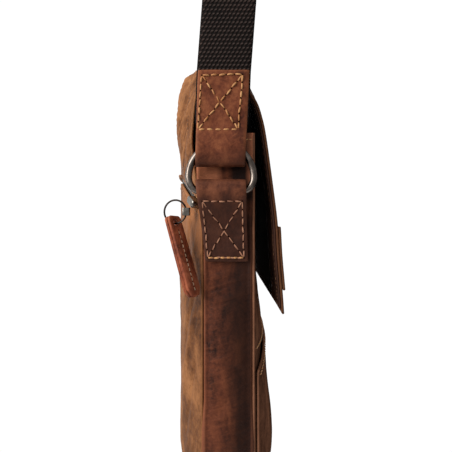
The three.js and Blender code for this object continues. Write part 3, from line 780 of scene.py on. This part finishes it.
def gusset_line(count):
    """Places along the bag and heights of the gusset's middle, from one hem round to the other."""
    side = HEM - CORNER
    quarter = math.pi / 2 * CORNER
    whole = 2 * side + 2 * quarter + BAG_WIDTH - 2 * CORNER
    place = np.linspace(0, whole, count)
    half = np.minimum(place, whole - place)
    mirror = np.where(place <= whole / 2, -1.0, 1.0)
    turn = np.clip((half - side) / CORNER, 0, math.pi / 2)
    under = np.maximum(half - side - quarter, 0)
    x = HALF - CORNER + CORNER * np.cos(turn) - under
    z = np.where(half < side, HEM - half, CORNER - CORNER * np.sin(turn))
    return mirror * x, np.maximum(z, 0)


def add_gusset():
    x, z = gusset_line(300)
    depth = np.linspace(1, -1, 31) * GUSSET / 2
    points = point_grid(x[:, None], depth, z[:, None])
    height = points[..., 2]
    flare = np.clip((height - 222) / 30, 0, 1) ** 1.5
    points[..., 1] *= 1 + flare * np.where(points[..., 1] > 0, 0.3, 0.07)
    edge = np.abs(depth) / (GUSSET / 2)
    round_out = 3.4 * np.clip((186 - height) / 34, 0, 1) * (1 - edge**2) * np.clip(height / 40, 0, 1)
    seam = 0.55 * hump(edge, 0.93, 0.05) - 0.25 * hump(edge, 0.8, 0.08)
    lift = seam + 0.22 * noise_field(points, 40.0, 5) + 0.1 * noise_field(points, 11.0, 6) + round_out
    lift += ridge(points, GUSSET_CREASES, 0, -HALF)
    lift += 0.8 * ridge(points * np.array([-1.0, 1, 1]), GUSSET_CREASES, 0, -HALF)
    points[..., 1] += np.sign(points[..., 1]) * 1.7 * edge**8 * np.clip((84 - height) / 20, 0, 1)
    lift = np.where(height < 6, np.minimum(lift, 0.0), lift)
    wall("gusset_leather", points, 0.0, -LEATHER, "gusset", ("gusset",), lift)


# Place along the bag and height of the start and of the end, half width, height.
BACK_WRINKLES = [
    (-177, 348, -140, 284, 2.0, 2.0),
    (-172, 352, -132, 282, 1.8, -2.2),
    (-164, 354, -122, 288, 2.2, 2.0),
    (-156, 355, -110, 294, 2.4, -2.0),
    (-146, 356, -98, 304, 2.6, 1.6),
    (-178, 338, -146, 276, 1.7, -1.8),
    (-178, 322, -152, 268, 1.7, 1.8),
    (-179, 306, -158, 262, 1.6, -1.5),
    (-179, 292, -164, 256, 1.6, 1.2),
    (-120, 340, -60, 300, 4.5, 1.4),
    (-100, 330, -30, 296, 4.5, -1.2),
    (-172, 206, -140, 150, 2.8, 1.5),
    (-176, 186, -140, 110, 2.6, -1.6),
    (-168, 150, -132, 70, 3.2, 1.6),
    (-174, 120, -144, 40, 3.0, -1.5),
    (-164, 226, -140, 176, 2.4, -1.4),
    (-150, 230, -120, 150, 3.6, -1.3),
    (-158, 120, -128, 30, 3.2, 1.3),
    (-110, 190, -60, 90, 6.0, 1.2),
]


def back_lift(points):
    """Wrinkles and soft waves of the back panel and the flap, weaker at the far end."""
    lift = ridge(points * np.array([1.0, 0, 1]), BACK_WRINKLES, 1, 0.0)
    lift += 0.7 * ridge(points * np.array([-1.0, 0, 1]), BACK_WRINKLES, 1, 0.0)
    for height, scale, seed in ((0.6, 70.0, 8), (0.25, 22.0, 9), (0.12, 9.0, 19)):
        lift += height * noise_field(points, scale, seed)
    return lift


def add_hem_stitches():
    threads = Gather()
    depth = np.linspace(-18.9, 22.0, 14)
    for side in (-1.0, 1.0):
        points = point_grid(side * (HALF + 0.25), depth, HEM - 4.0 - 0.04 * np.abs(depth))
        stitch_line(threads, points, np.tile([side, 0, 0], (len(points), 1)), 1.2)
    threads.build("hem_stitches", "thread", "leather")


def add_flap_stitches():
    """Stitches round the flap's border on both faces and along the overlay's upper edge."""
    threads = Gather()
    down = np.linspace(1.2, LAST_ROW - 0.55, 108)
    share = np.linspace(-0.96, 0.96, 76)
    overlay_row = OVERLAY_FIRST_ROW + 0.2
    step = 1e-3
    for line_share, row in ((-0.962, down), (0.962, down), (share, LAST_ROW - 0.3), (share, overlay_row)):
        line_share, row = np.broadcast_arrays(line_share, row)
        points = flap_points(line_share, row)
        normals = units(np.cross(
            flap_points(line_share - step, row) - flap_points(line_share + step, row),
            flap_points(line_share, row + step) - flap_points(line_share, row - step),
        ))
        covered = (row > OVERLAY_FIRST_ROW) & (row < OVERLAY_LAST_ROW)
        outer = points + normals * np.where(covered, GAP + LEATHER, 0.0)[:, None]
        stitch_line(threads, outer, normals, 0.9, 0.7, 0.3)
        if row[0] != overlay_row:
            facing = row > LINING_FIRST_ROW + 0.3
            inner = (points - normals * (LEATHER + GAP + LINING))[facing]
            stitch_line(threads, inner, -normals[facing], 0.9, 0.7, 0.3)
    threads.build("flap_stitches", "thread_dim", "leather_tan")


def add_zip_stitches():
    """Two lines of stitches, one on each lip of the back zip."""
    threads = Gather()
    share = np.linspace(-0.985, 0.985, 96)
    for points in (zip_points(share, -7.5), flap_points(share, 0.35)):
        normals = units(np.cross(np.gradient(points, axis=0), [0, 0, 1.0]))
        normals *= np.sign(normals[:, 1:2])
        stitch_line(threads, points + normals * 0.2, normals, 0.75, 0.7, 0.35)
    threads.build("zip_lip_stitches", "thread_lip", "leather_tan")


def fade_at_rim(share, start=0.93):
    return np.clip((1 - np.abs(share)) / (1 - start), 0, 1)


def add_back_panel():
    u, v = crossed(-shares(110), np.linspace(0, 1, 90) ** 1.15)
    top = zip_height(u) - ZIP_SLOT / 2
    height = PANEL_FOOT + v * (top - PANEL_FOOT)
    points = panel_points("back", u, height)
    lift = back_lift(points) * fade_at_rim(u) * np.clip(height / 12, 0, 1)
    lift = lift * np.clip((top - height) / 20, 0, 1)
    wall("back_panel_leather", points, 0.0, -LEATHER, "back", ("back_panel",), lift)


def add_front_panel():
    u, v = crossed(shares(100), np.linspace(0, 1, 90) ** 1.15)
    height = PANEL_FOOT + v * (HEM - PANEL_FOOT)
    points = panel_points("front", u, height)
    lift = (0.4 * noise_field(points, 60.0, 10) + 0.12 * noise_field(points, 16.0, 11)) * fade_at_rim(u)
    lift = lift * np.clip((height - POCKET_MOUTH_MIDDLE) / 8, 0, 1)
    wall("front_panel_leather", points, 0.0, -LEATHER, "dark", ("front_panel",), lift)


def pocket_mouth(share):
    rise = np.clip((1 - np.abs(share)) / 0.35, 0, 1)
    return POCKET_MOUTH_EDGE + (POCKET_MOUTH_MIDDLE - POCKET_MOUTH_EDGE) * rise


def pocket_points(share, height):
    above = np.maximum(height - BOTTOM_ROUND, 0) / (POCKET_MOUTH_MIDDLE - BOTTOM_ROUND)
    real = np.minimum(height, BOTTOM_ROUND) + above * (pocket_mouth(share) - BOTTOM_ROUND)
    return panel_points("front", share, real)


def add_front_pocket():
    foot = 3.0
    u, v = crossed(shares(100, 0.985), np.linspace(0, 1, 60) ** 1.2)
    height = foot + v * (POCKET_MOUTH_MIDDLE - foot)
    points = pocket_points(u, height)
    lift = 0.35 * (1 + noise_field(points, 50.0, 12)) * fade_at_rim(u, 0.9)
    lift = lift + 0.5 * hump(height, POCKET_MOUTH_MIDDLE, 2.2)
    outer = POCKET_GAP + LEATHER
    wall("front_pocket_leather", points, outer, POCKET_GAP, "dark", ("front_pocket",), lift)


def add_pocket_stitches():
    """A line of stitches along the pocket's mouth, and one on the front panel above it."""
    threads = Gather()
    on_pocket = np.linspace(-0.98, 0.98, 86)
    above = np.linspace(-0.985, 0.985, 86)
    for share, height, rise in (
        (on_pocket, pocket_mouth(on_pocket) - 4.0, POCKET_GAP + LEATHER + 0.7),
        (above, 124.0 + 4 * (1 - np.abs(above)), 0.25),
    ):
        line = panel_points("front", share, height)
        for a, b in zip(line, line[1:]):
            normal = front_normal(a)
            middle = (a + b) / 2
            start, end = (middle + (p - middle) * 0.8 + normal * rise for p in (a, b))
            threads.add(*grain_of_thread(start, end, normal, 1.1, 0.8))
    threads.build("pocket_stitches", "thread", "leather_dark")


def front_normal(point):
    """Outward direction of the front panel at a point on it."""
    share, height = point[0] / HALF, point[2]
    step = 1e-3
    over = panel_points("front", share + step, height) - panel_points("front", share - step, height)
    up = panel_points("front", share, height + 1) - panel_points("front", share, height - 1)
    normal = unit(np.cross(over, up))
    return normal if normal[1] < 0 else -normal


# Flap


def slack_corner(points):
    """How far the yoke's upper corners, beside the strap tabs, sink in."""
    deepest = 5.5
    corner = hump(points[..., 1], 31, 12) * hump(points[..., 2], 344, 17)
    return deepest * corner * np.clip((np.abs(points[..., 0]) - 60) / 80, 0, 1)


def add_flap():
    u, v = crossed(-shares(120), np.linspace(0, LAST_ROW, 170))
    points = flap_points(u, v)
    lift = back_lift(points) * fade_at_rim(u, 0.96) * np.clip(v / 2.5, 0, 1)
    lift = lift * np.clip((9 - v) / 3, 0.25, 1)
    lift = np.where(v > OVERLAY_FIRST_ROW - 0.3, 0.0, lift)
    lift = np.maximum(lift, -1.4) - slack_corner(points)
    wall("flap_leather", points, 0.0, -LEATHER, "tan", ("flap",), lift)


def add_flap_inside():
    """Black lining below the flap, and a leather facing along each side edge."""
    inner = -LEATHER - GAP
    aside = GAP / HALF
    reach = FACING_SHARE - aside
    rows = np.linspace(LINING_FIRST_ROW, LINING_LAST_ROW, 90)
    points = flap_points(*crossed(np.linspace(reach, -reach, 40), rows))
    lining = wall("flap_lining_cloth", points, inner, inner - LINING, "black", ("flap_lining",),
                  -slack_corner(points), True)
    rows = np.linspace(LINING_FIRST_ROW, LINING_LAST_ROW, 110)
    for name, first, end in (
        ("flap_facing_left", FACING_SHARE + aside, 0.996),
        ("flap_facing_right", -0.996, -FACING_SHARE - aside),
    ):
        points = flap_points(*crossed(np.linspace(end, first, 14), rows))
        wall(name + "_leather", points, inner, inner - LINING, "facing", (name,),
             -slack_corner(points))


def add_overlay():
    points = flap_points(*crossed(-shares(120), np.linspace(OVERLAY_FIRST_ROW, OVERLAY_LAST_ROW, 30)))
    wall("flap_overlay_leather", points, GAP + LEATHER, GAP, "tan", ("flap_overlay",))


def add_collar():
    """Black lining band that stands up round the mouth."""
    straight_x = HALF - LEATHER - GAP - COLLAR_CORNER
    straight_y = RIM - LEATHER - GAP - COLLAR_CORNER
    outline = []
    for across, over, start in ((1, 1, 0), (-1, 1, 90), (-1, -1, 180), (1, -1, 270)):
        for angle in np.radians(start + np.linspace(0, 90, 9)):
            outline.append((across * straight_x + COLLAR_CORNER * math.cos(angle),
                            over * straight_y + COLLAR_CORNER * math.sin(angle)))
    outline = np.array(outline)
    filled = []
    for start, end in zip(outline, np.roll(outline, -1, 0)):
        pieces = max(1, int(np.linalg.norm(end - start) / 8))
        for k in range(pieces):
            filled.append(start + (end - start) * k / pieces)
    filled = np.array(filled + [filled[0]])
    levels = np.linspace(COLLAR_FOOT, COLLAR_TOP, 16)
    points = point_grid(filled[:, :1], filled[:, 1:], levels)
    wave = 0.5 * noise_field(points, 34.0, 14) * np.clip((levels - 285) / 15, 0, 1)
    points[..., :2] -= units(filled)[:, None] * np.maximum(wave, 0)[..., None]
    points[..., 2] += wave
    collar = wall("lining_collar_cloth", points, 0.0, -LINING, "black", ("lining_collar",),
                  with_uvs=True)


# Strap, tabs and rings

STRAP_HEIGHTS = (185.0, 262.0, 334.0, 387.0, 470.0, 800.0)
STRAP_DEPTHS = (0.6, 5.9, 3.2, -0.9, -4.5, -4.5)


def strap_centre(height):
    return np.interp(height, STRAP_HEIGHTS, STRAP_DEPTHS)


def strap_line(count):
    """Places along the bag and heights of the webbing, from one end over the arch to the other."""
    rise = ARCH_SPRING - WEBBING_END
    arch = math.pi * STRAP_PLANE
    run = np.linspace(0, 2 * rise + arch, count)
    turn = np.clip((run - rise) / STRAP_PLANE, 0, math.pi)
    z = np.where(run < rise, WEBBING_END + run, ARCH_SPRING + STRAP_PLANE * np.sin(turn))
    z = np.where(run > rise + arch, ARCH_SPRING - (run - rise - arch), z)
    return -STRAP_PLANE * np.cos(turn), z


def add_strap():
    x, z = strap_line(260)
    depth = np.linspace(-1, 1, 13) * STRAP_WIDTH / 2
    points = point_grid(x[:, None], strap_centre(z)[:, None] + depth, z[:, None])
    strap = wall("strap_webbing_weave", points, WEBBING / 2, -WEBBING / 2, "webbing",
                 ("strap_webbing",), with_uvs=True)


LOOP = RING_WIRE / 2 + GAP + LEATHER / 2 + 0.4


def loop(middle, centre, angles):
    """Points of a leather loop round the ring's wire, as places off the strap's plane and heights."""
    return [(middle + LOOP * math.cos(a), centre + LOOP * math.sin(a)) for a in np.radians(angles)]


def tab_path():
    flat = WEBBING / 2 + GAP + LEATHER / 2
    top = RING_LEVEL + RING_ARCH + 1
    down = [(flat, TAB_TOP), (flat, 316), (flat, 300), (flat + 0.1, WEBBING_END - 3), (LOOP * 0.99, top)]
    fold = loop(0.0, TAB_FOLD + LOOP + LEATHER / 2, range(0, -181, -30))
    return down + fold + [(-o, z) for o, z in reversed(down)]


def chape_path():
    back = -8.0 + GAP + LEATHER / 2
    front = back + LEATHER + GAP
    middle = 0.2
    level = RING_LEVEL - RING_DROP - 3
    start = [(back, CHAPE_BOTTOM + 2), (back, 214), (back + 0.1, 226), (middle - LOOP, level)]
    fold = loop(middle, CHAPE_TOP - LOOP - LEATHER / 2, range(180, -1, -30))
    end = [(middle + LOOP, level), (front + 0.1, 222), (front, 212), (front, CHAPE_BOTTOM)]
    return start + fold + end


def strip_points(path, side, width_at, centre_at):
    """A strip along a path, with a half width and a middle depth for each height."""
    offset, height = smooth_path(path, 120).T[..., None]
    depth = np.linspace(-1, 1, 19)
    across = centre_at(height) + side * depth * width_at(height)
    return point_grid(side * (STRAP_PLANE + offset), across, height)


def tab_width(height):
    return 17.9 + 0.7 * np.clip((height - TAB_FOLD) / 60, 0, 1)


def chape_share(height):
    return np.clip((height - CHAPE_BOTTOM) / (CHAPE_TOP - CHAPE_BOTTOM), 0, 1)


def chape_width(height):
    return 15.7 + 2.6 * chape_share(height)


def chape_centre(height):
    return 0.9 + 4.7 * chape_share(height)


def soft_edges(points, seed):
    return 0.25 * noise_field(points, 16.0, seed) + 0.1 * noise_field(points, 6.0, seed + 1)


# Stitched boxes with a cross: their corners as depth and height.
TAB_BOX = ((19.4, 330.8), (-10.8, 331.5), (-7.7, 290.5), (22.4, 290.5))
CHAPE_BOX = ((19.2, 237.4), (-10.6, 237.4), (-12.1, 194.9), (15.5, 194.9))
BOX_ABOVE_LEATHER = 0.15


def add_box_stitches(name, box, plane, side, thread, width):
    threads, holes = Gather(), Gather()
    normal = np.array([float(side), 0, 0])

    def onto(point):
        return np.array([side * plane(point[2]), point[1], point[2]])

    corners = [onto((0.0, y, z)) for y, z in box]
    for first, last, count, share, fill in (
        (0, 1, 5, 1.0, 0.84),
        (1, 2, 7, 1.0, 0.84),
        (2, 3, 5, 1.0, 0.84),
        (3, 0, 7, 1.0, 0.84),
        (0, 2, 8, 0.92, 0.8),
        (1, 3, 8, 0.92, 0.8),
    ):
        stitch_row(threads, holes, corners[first], corners[last], count, normal, share * width, fill, onto)
    threads.build(name + "_stitches", thread, "leather")
    holes.build(name + "_needle_holes", "hole", "leather")


def add_heavy_row(name, box, plane, side):
    """A second, thicker thread over the lowest row of a stitched box."""
    threads = Gather()
    lowest = sorted(box, key=lambda corner: corner[1])[:2]
    start, end = [np.array([side * plane(z), y, z]) for y, z in lowest]
    stitch_row(threads, None, start, end, 6, (side, 0, 0), 1.5, 0.9)
    threads.build(name + "_heavy_stitches", "thread", "leather")


def add_tab(suffix, side, seed):
    points = strip_points(tab_path(), side, tab_width, strap_centre)
    wall("strap_tab_%s_leather" % suffix, points, LEATHER / 2, -LEATHER / 2, "red",
         ("strap_tab_" + suffix,), soft_edges(points, seed))
    flat = STRAP_PLANE + WEBBING / 2 + GAP + LEATHER + BOX_ABOVE_LEATHER
    add_box_stitches("strap_tab_" + suffix, TAB_BOX, lambda z: flat, side, "thread", 1.35)


def add_chape(suffix, side, seed):
    points = strip_points(chape_path(), side, chape_width, chape_centre)
    wall("side_tab_%s_leather" % suffix, points, LEATHER / 2, -LEATHER / 2, "chape",
         ("side_tab_" + suffix,), soft_edges(points, seed))
    line = smooth_path(chape_path(), 240)[150:]
    offsets, heights = line[np.argsort(line[:, 1])].T

    def plane(height):
        return STRAP_PLANE + np.interp(height, heights, offsets) + LEATHER / 2 + BOX_ABOVE_LEATHER

    add_box_stitches("side_tab_" + suffix, CHAPE_BOX, plane, side, "thread_pink", 1.1)
    add_heavy_row("side_tab_" + suffix, CHAPE_BOX, plane, side)


def add_ring(suffix, side):
    """A D-ring: an arch above, and a bar with two rounded corners below."""
    corner = RING_HALF_WIDTH - RING_CORNER
    path = [(RING_HALF_WIDTH * math.cos(a), RING_ARCH * math.sin(a)) for a in np.linspace(0, math.pi, 49)]
    quarter = [(corner + RING_CORNER * math.cos(a), -RING_DROP * math.sin(a))
               for a in np.linspace(math.pi / 2, 0, 13)[:-1]]
    path += [(-y, z) for y, z in reversed(quarter)]
    path += [(-corner + 2 * corner * share, -RING_DROP) for share in np.linspace(0, 1, 9)[1:-1]]
    path += quarter
    points = [(side * STRAP_PLANE, RING_SHIFT + y, RING_LEVEL + z) for y, z in path]
    vertices, faces = tube_mesh(points, RING_WIRE / 2, 20, (1.0, 0, 0))
    add_object("ring_%s_wire" % suffix, vertices, faces, "ring", ("ring_" + suffix,))


# Back zip


def add_zip():
    u, v = crossed(-shares(120, 0.95), np.linspace(-11, 11, 13))
    points = zip_points(u, v)
    tape = wall("zip_tape_cloth", points, ZIP_TAPE_DEPTH, ZIP_TAPE_DEPTH - LINING, "zip_cloth",
                ("zip_tape",), with_uvs=True)


def tooth_mesh(centre, along, aside, outward):
    """A zip tooth: a block that tapers away from the tape."""
    length, width, height = TOOTH_HALF_SIZES
    corners = []
    for out, taper in ((-1, 1.0), (1, 0.8)):
        for a, b in ((-1, -1), (1, -1), (1, 1), (-1, 1)):
            flat = along * a * length * taper + aside * b * width * taper
            corners.append(centre + flat + outward * out * height)
    return corners, [(0, 3, 2, 1), (4, 5, 6, 7), (0, 1, 5, 4), (1, 2, 6, 5), (2, 3, 7, 6), (3, 0, 4, 7)]


def add_zip_teeth():
    teeth = Gather()
    line = zip_points(np.linspace(-0.95, 0.95, 4000))
    run = run_along(line)
    for i, place in enumerate(np.arange(1.0, run[-1] - 1.0, TOOTH_PITCH)):
        point, ahead = (
            np.array([np.interp(p, run, line[:, k]) for k in range(3)]) for p in (place, place + 1)
        )
        along = unit(ahead - point)
        outward = unit(np.cross(along, [0, 0, 1.0]))
        outward *= np.sign(outward[1])
        aside = np.cross(outward, along)
        sign = 1 if i % 2 else -1
        centre = point + outward * (ZIP_TAPE_DEPTH + TOOTH_OFF_MIDDLE) + aside * sign * TOOTH_OFF_MIDDLE
        teeth.add(*tooth_mesh(centre, along, aside, outward))
    teeth.build("zip_teeth_metal", "zip", "zip_metal", ("zip_teeth",), smooth=False)


def smooth_copy(node, name, material, width):
    """A finer version of a small hard node: the same solid with its edges rounded over."""
    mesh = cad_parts[node].data.copy()
    mesh.materials.clear()
    mesh.materials.append(MATERIALS[material])
    mesh.polygons.foreach_set("use_smooth", [True] * len(mesh.polygons))
    obj = bpy.data.objects.new(name, mesh)
    weld = obj.modifiers.new("weld", "WELD")
    weld.merge_threshold = 1e-6
    bevel = obj.modifiers.new("bevel", "BEVEL")
    bevel.width = width
    bevel.segments = 3
    bevel.limit_method = "ANGLE"
    bevel.angle_limit = math.radians(25)
    bevel.harden_normals = False
    declare(obj, (node,))


def pull_frame():
    """Centre and plane of the pull's ring, and the pull's hole with its three directions."""
    step = 1e-3
    along = unit(zip_points(-SLIDER_SHARE - step) - zip_points(-SLIDER_SHARE + step))
    up = np.array([0, 0, 1.0])
    outward = unit(np.cross(along, up))
    outward *= np.sign(outward[1])
    slider = zip_points(-SLIDER_SHARE) + outward * (ZIP_TEETH_TOP + GAP + SLIDER_HEIGHT / 2)
    across = unit([0.25, 0.97, 0])
    centre = slider + np.array([-4.4, 5.3, -7.8]) + across * PULL_RING
    lowest = math.radians(HANG_ANGLE)
    hole = centre - up * PULL_RING * math.cos(lowest) + across * PULL_RING * math.sin(lowest)
    down = unit([-0.25, -0.29, -0.95])
    face = np.array([-0.57, -0.82, 0])
    face = unit(face - down * face.dot(down))
    return centre, across, hole, np.cross(-down, face), -down, face


def pull_outline(turns, inset):
    """Border of the pull's rounded oblong, seen from its hole at the given angles."""
    half = np.array([PULL_WIDTH / 2 - inset, PULL_LENGTH / 2 - inset])
    outline = []
    for turn in turns:
        ray = np.array([math.cos(turn), math.sin(turn)])
        low, high = 0.0, PULL_LENGTH + 20
        for _ in range(40):
            reach = (low + high) / 2
            place = ray * reach + np.array([0, PULL_LENGTH / 2 - HOLE_BELOW_TOP])
            over = np.maximum(np.abs(place) - (half - PULL_CORNER), 0)
            if np.linalg.norm(over) > PULL_CORNER:
                high = reach
            else:
                low = reach
        outline.append(ray * low)
    return np.array(outline)


def plate(centre, broad, long, face, bottom, top, inset, round_off):
    """A rounded leather plate with a round hole, between two levels along its face direction."""
    count = 96
    turns = 2 * math.pi * np.arange(count) / count
    outline = pull_outline(turns, inset)
    hole = np.stack([np.cos(turns), np.sin(turns)], 1) * PULL_HOLE
    away = units(outline) * round_off
    rings = [
        (hole, bottom),
        (hole, top),
        (outline - away, top),
        (outline - away * 0.3, top - 0.3 * round_off),
        (outline, top - round_off),
        (outline, bottom + round_off),
        (outline - away * 0.3, bottom + 0.3 * round_off),
        (outline - away, bottom),
    ]
    vertices = [centre + ring[:, :1] * broad + ring[:, 1:] * long + level * face for ring, level in rings]
    return np.concatenate(vertices), ring_faces(len(rings), count, True)


def add_zip_pull():
    smooth_copy("zip_slider", "zip_slider_body", "zip", 0.0007)
    smooth_copy("zip_link", "zip_link_body", "zip", 0.0005)
    centre, across, hole, broad, long, face = pull_frame()
    up = np.array([0, 0, 1])
    path = []
    for turn in np.linspace(0, 2 * math.pi, 56, endpoint=False):
        path.append(centre + across * PULL_RING * math.cos(turn) + up * PULL_RING * math.sin(turn))
    vertices, faces = tube_mesh(path, PULL_RING_WIRE / 2, 12, np.cross(up, across))
    add_object("pull_ring_wire", vertices, faces, "wire", ("pull_ring",))
    layers, core, threads, holes = Gather(), Gather(), Gather(), Gather()
    half = PULL_THICKNESS / 2
    for bottom, top, inset in ((-half, -0.12, 0.0), (0.12, half, 0.25)):
        layers.add(*plate(hole, broad, long, face, bottom, top, inset, 0.6))
    layers.build("zip_pull_leather", "pull", "leather", ("zip_pull",))
    core.add(*plate(hole, broad, long, face, -0.3, 0.3, 0.7, 0.1))
    core.build("zip_pull_seam", "hole", "leather")
    start = hole - long * 6.5 + face * half
    end = hole - long * (PULL_LENGTH - HOLE_BELOW_TOP - 3.5) + face * half
    stitch_row(threads, holes, start, end, 13, face, 0.95, 0.72, wobble=0.06, height=0.36)
    threads.build("zip_pull_stitches", "thread_cream", "leather")
    holes.build("zip_pull_needle_holes", "hole", "leather")


# Stage, light and camera


BASE_LEVEL = -HANG / 1000
FLOOR_BELOW_BASE = 0.9
FLOOR_HALF_SIZE = 1.6


def add_stage():
    """Pale floor below the bag."""
    mesh = bpy.data.meshes.new("floor")
    corners = [(-1, -1), (1, -1), (1, 1), (-1, 1)]
    level = BASE_LEVEL - FLOOR_BELOW_BASE
    points = [(x * FLOOR_HALF_SIZE, y * FLOOR_HALF_SIZE, level) for x, y in corners]
    mesh.from_pydata(points, [], [(0, 1, 2, 3)])
    floor = bpy.data.objects.new("floor", mesh)
    bpy.context.scene.collection.objects.link(floor)
    n = Nodes(bpy.data.materials.new("floor_paper"))
    cloud = n.noise(n.place(), 3.0, 2.0, 0.5)
    mesh.materials.append(n.finish(n.mix(cloud, (0.86, 0.86, 0.86), (0.9, 0.9, 0.9)), 0.9))


def add_world():
    """White studio: bright from the back panel's side, dim from the flap's side, white behind the bag."""
    world = bpy.data.worlds.new("studio")
    bpy.context.scene.world = world
    n = Nodes(world)
    axes = n.axes(n.new("ShaderNodeTexCoord").outputs["Generated"])
    side = n.spread(axes["Y"], -0.7, 0.8, 0.24, 0.8)
    above = n.spread(axes["Z"], -0.6, 0.7, 0.45, 1.3)
    ahead = n.spread(axes["X"], 0.6, 0.84, way="SMOOTHSTEP")
    strength = n.new("ShaderNodeMix", Factor=ahead, A=n.math("MULTIPLY", side, above), B=1.05)
    n.fill(n.tree.nodes["Background"], {"Strength": strength.outputs["Result"], "Color": (1, 1, 1)})


def add_light(name, place, target, size, power, colour):
    data = bpy.data.lights.new(name, "AREA")
    data.shape = "RECTANGLE"
    data.size, data.size_y = size
    data.energy = power
    data.color = colour
    light = bpy.data.objects.new(name, data)
    light.location = place
    light.rotation_euler = (Vector(target) - Vector(place)).to_track_quat("-Z", "Y").to_euler()
    bpy.context.scene.collection.objects.link(light)


def add_camera():
    data = bpy.data.cameras.new("photo_camera")
    data.sensor_width = 36.0
    data.lens = FOCAL_PIXELS / PHOTO_WIDTH * 36.0
    data.shift_x = -(VANISHING_COLUMN - PHOTO_WIDTH / 2) / PHOTO_WIDTH
    data.clip_start = 0.01
    data.clip_end = 20
    camera = bpy.data.objects.new("photo_camera", data)
    camera.location = metres([CAMERA_X, 0, CAMERA_Z]).tolist()
    camera.rotation_euler = (math.pi / 2, 0, -math.pi / 2)
    bpy.context.scene.collection.objects.link(camera)
    bpy.context.scene.camera = camera


add_camera()
add_stage()
add_world()
LIGHT_TARGET = (0, 0, BASE_LEVEL + 0.2)
add_light("key", (-0.9, 1.1, BASE_LEVEL + 0.75), LIGHT_TARGET, (0.7, 1.0), 16.0, (1.0, 0.97, 0.93))

add_gusset()
add_hem_stitches()
add_zip_stitches()
add_flap_stitches()
add_back_panel()
add_front_panel()
add_front_pocket()
add_pocket_stitches()
add_flap()
add_flap_inside()
add_overlay()
add_collar()
add_strap()
for suffix, side, seed in (("left", -1, 40), ("right", 1, 60)):
    add_tab(suffix, side, seed)
    add_chape(suffix, side, seed + 5)
    add_ring(suffix, side)
add_zip()
add_zip_teeth()
add_zip_pull()

bpy.context.scene.view_settings.view_transform = "Standard"
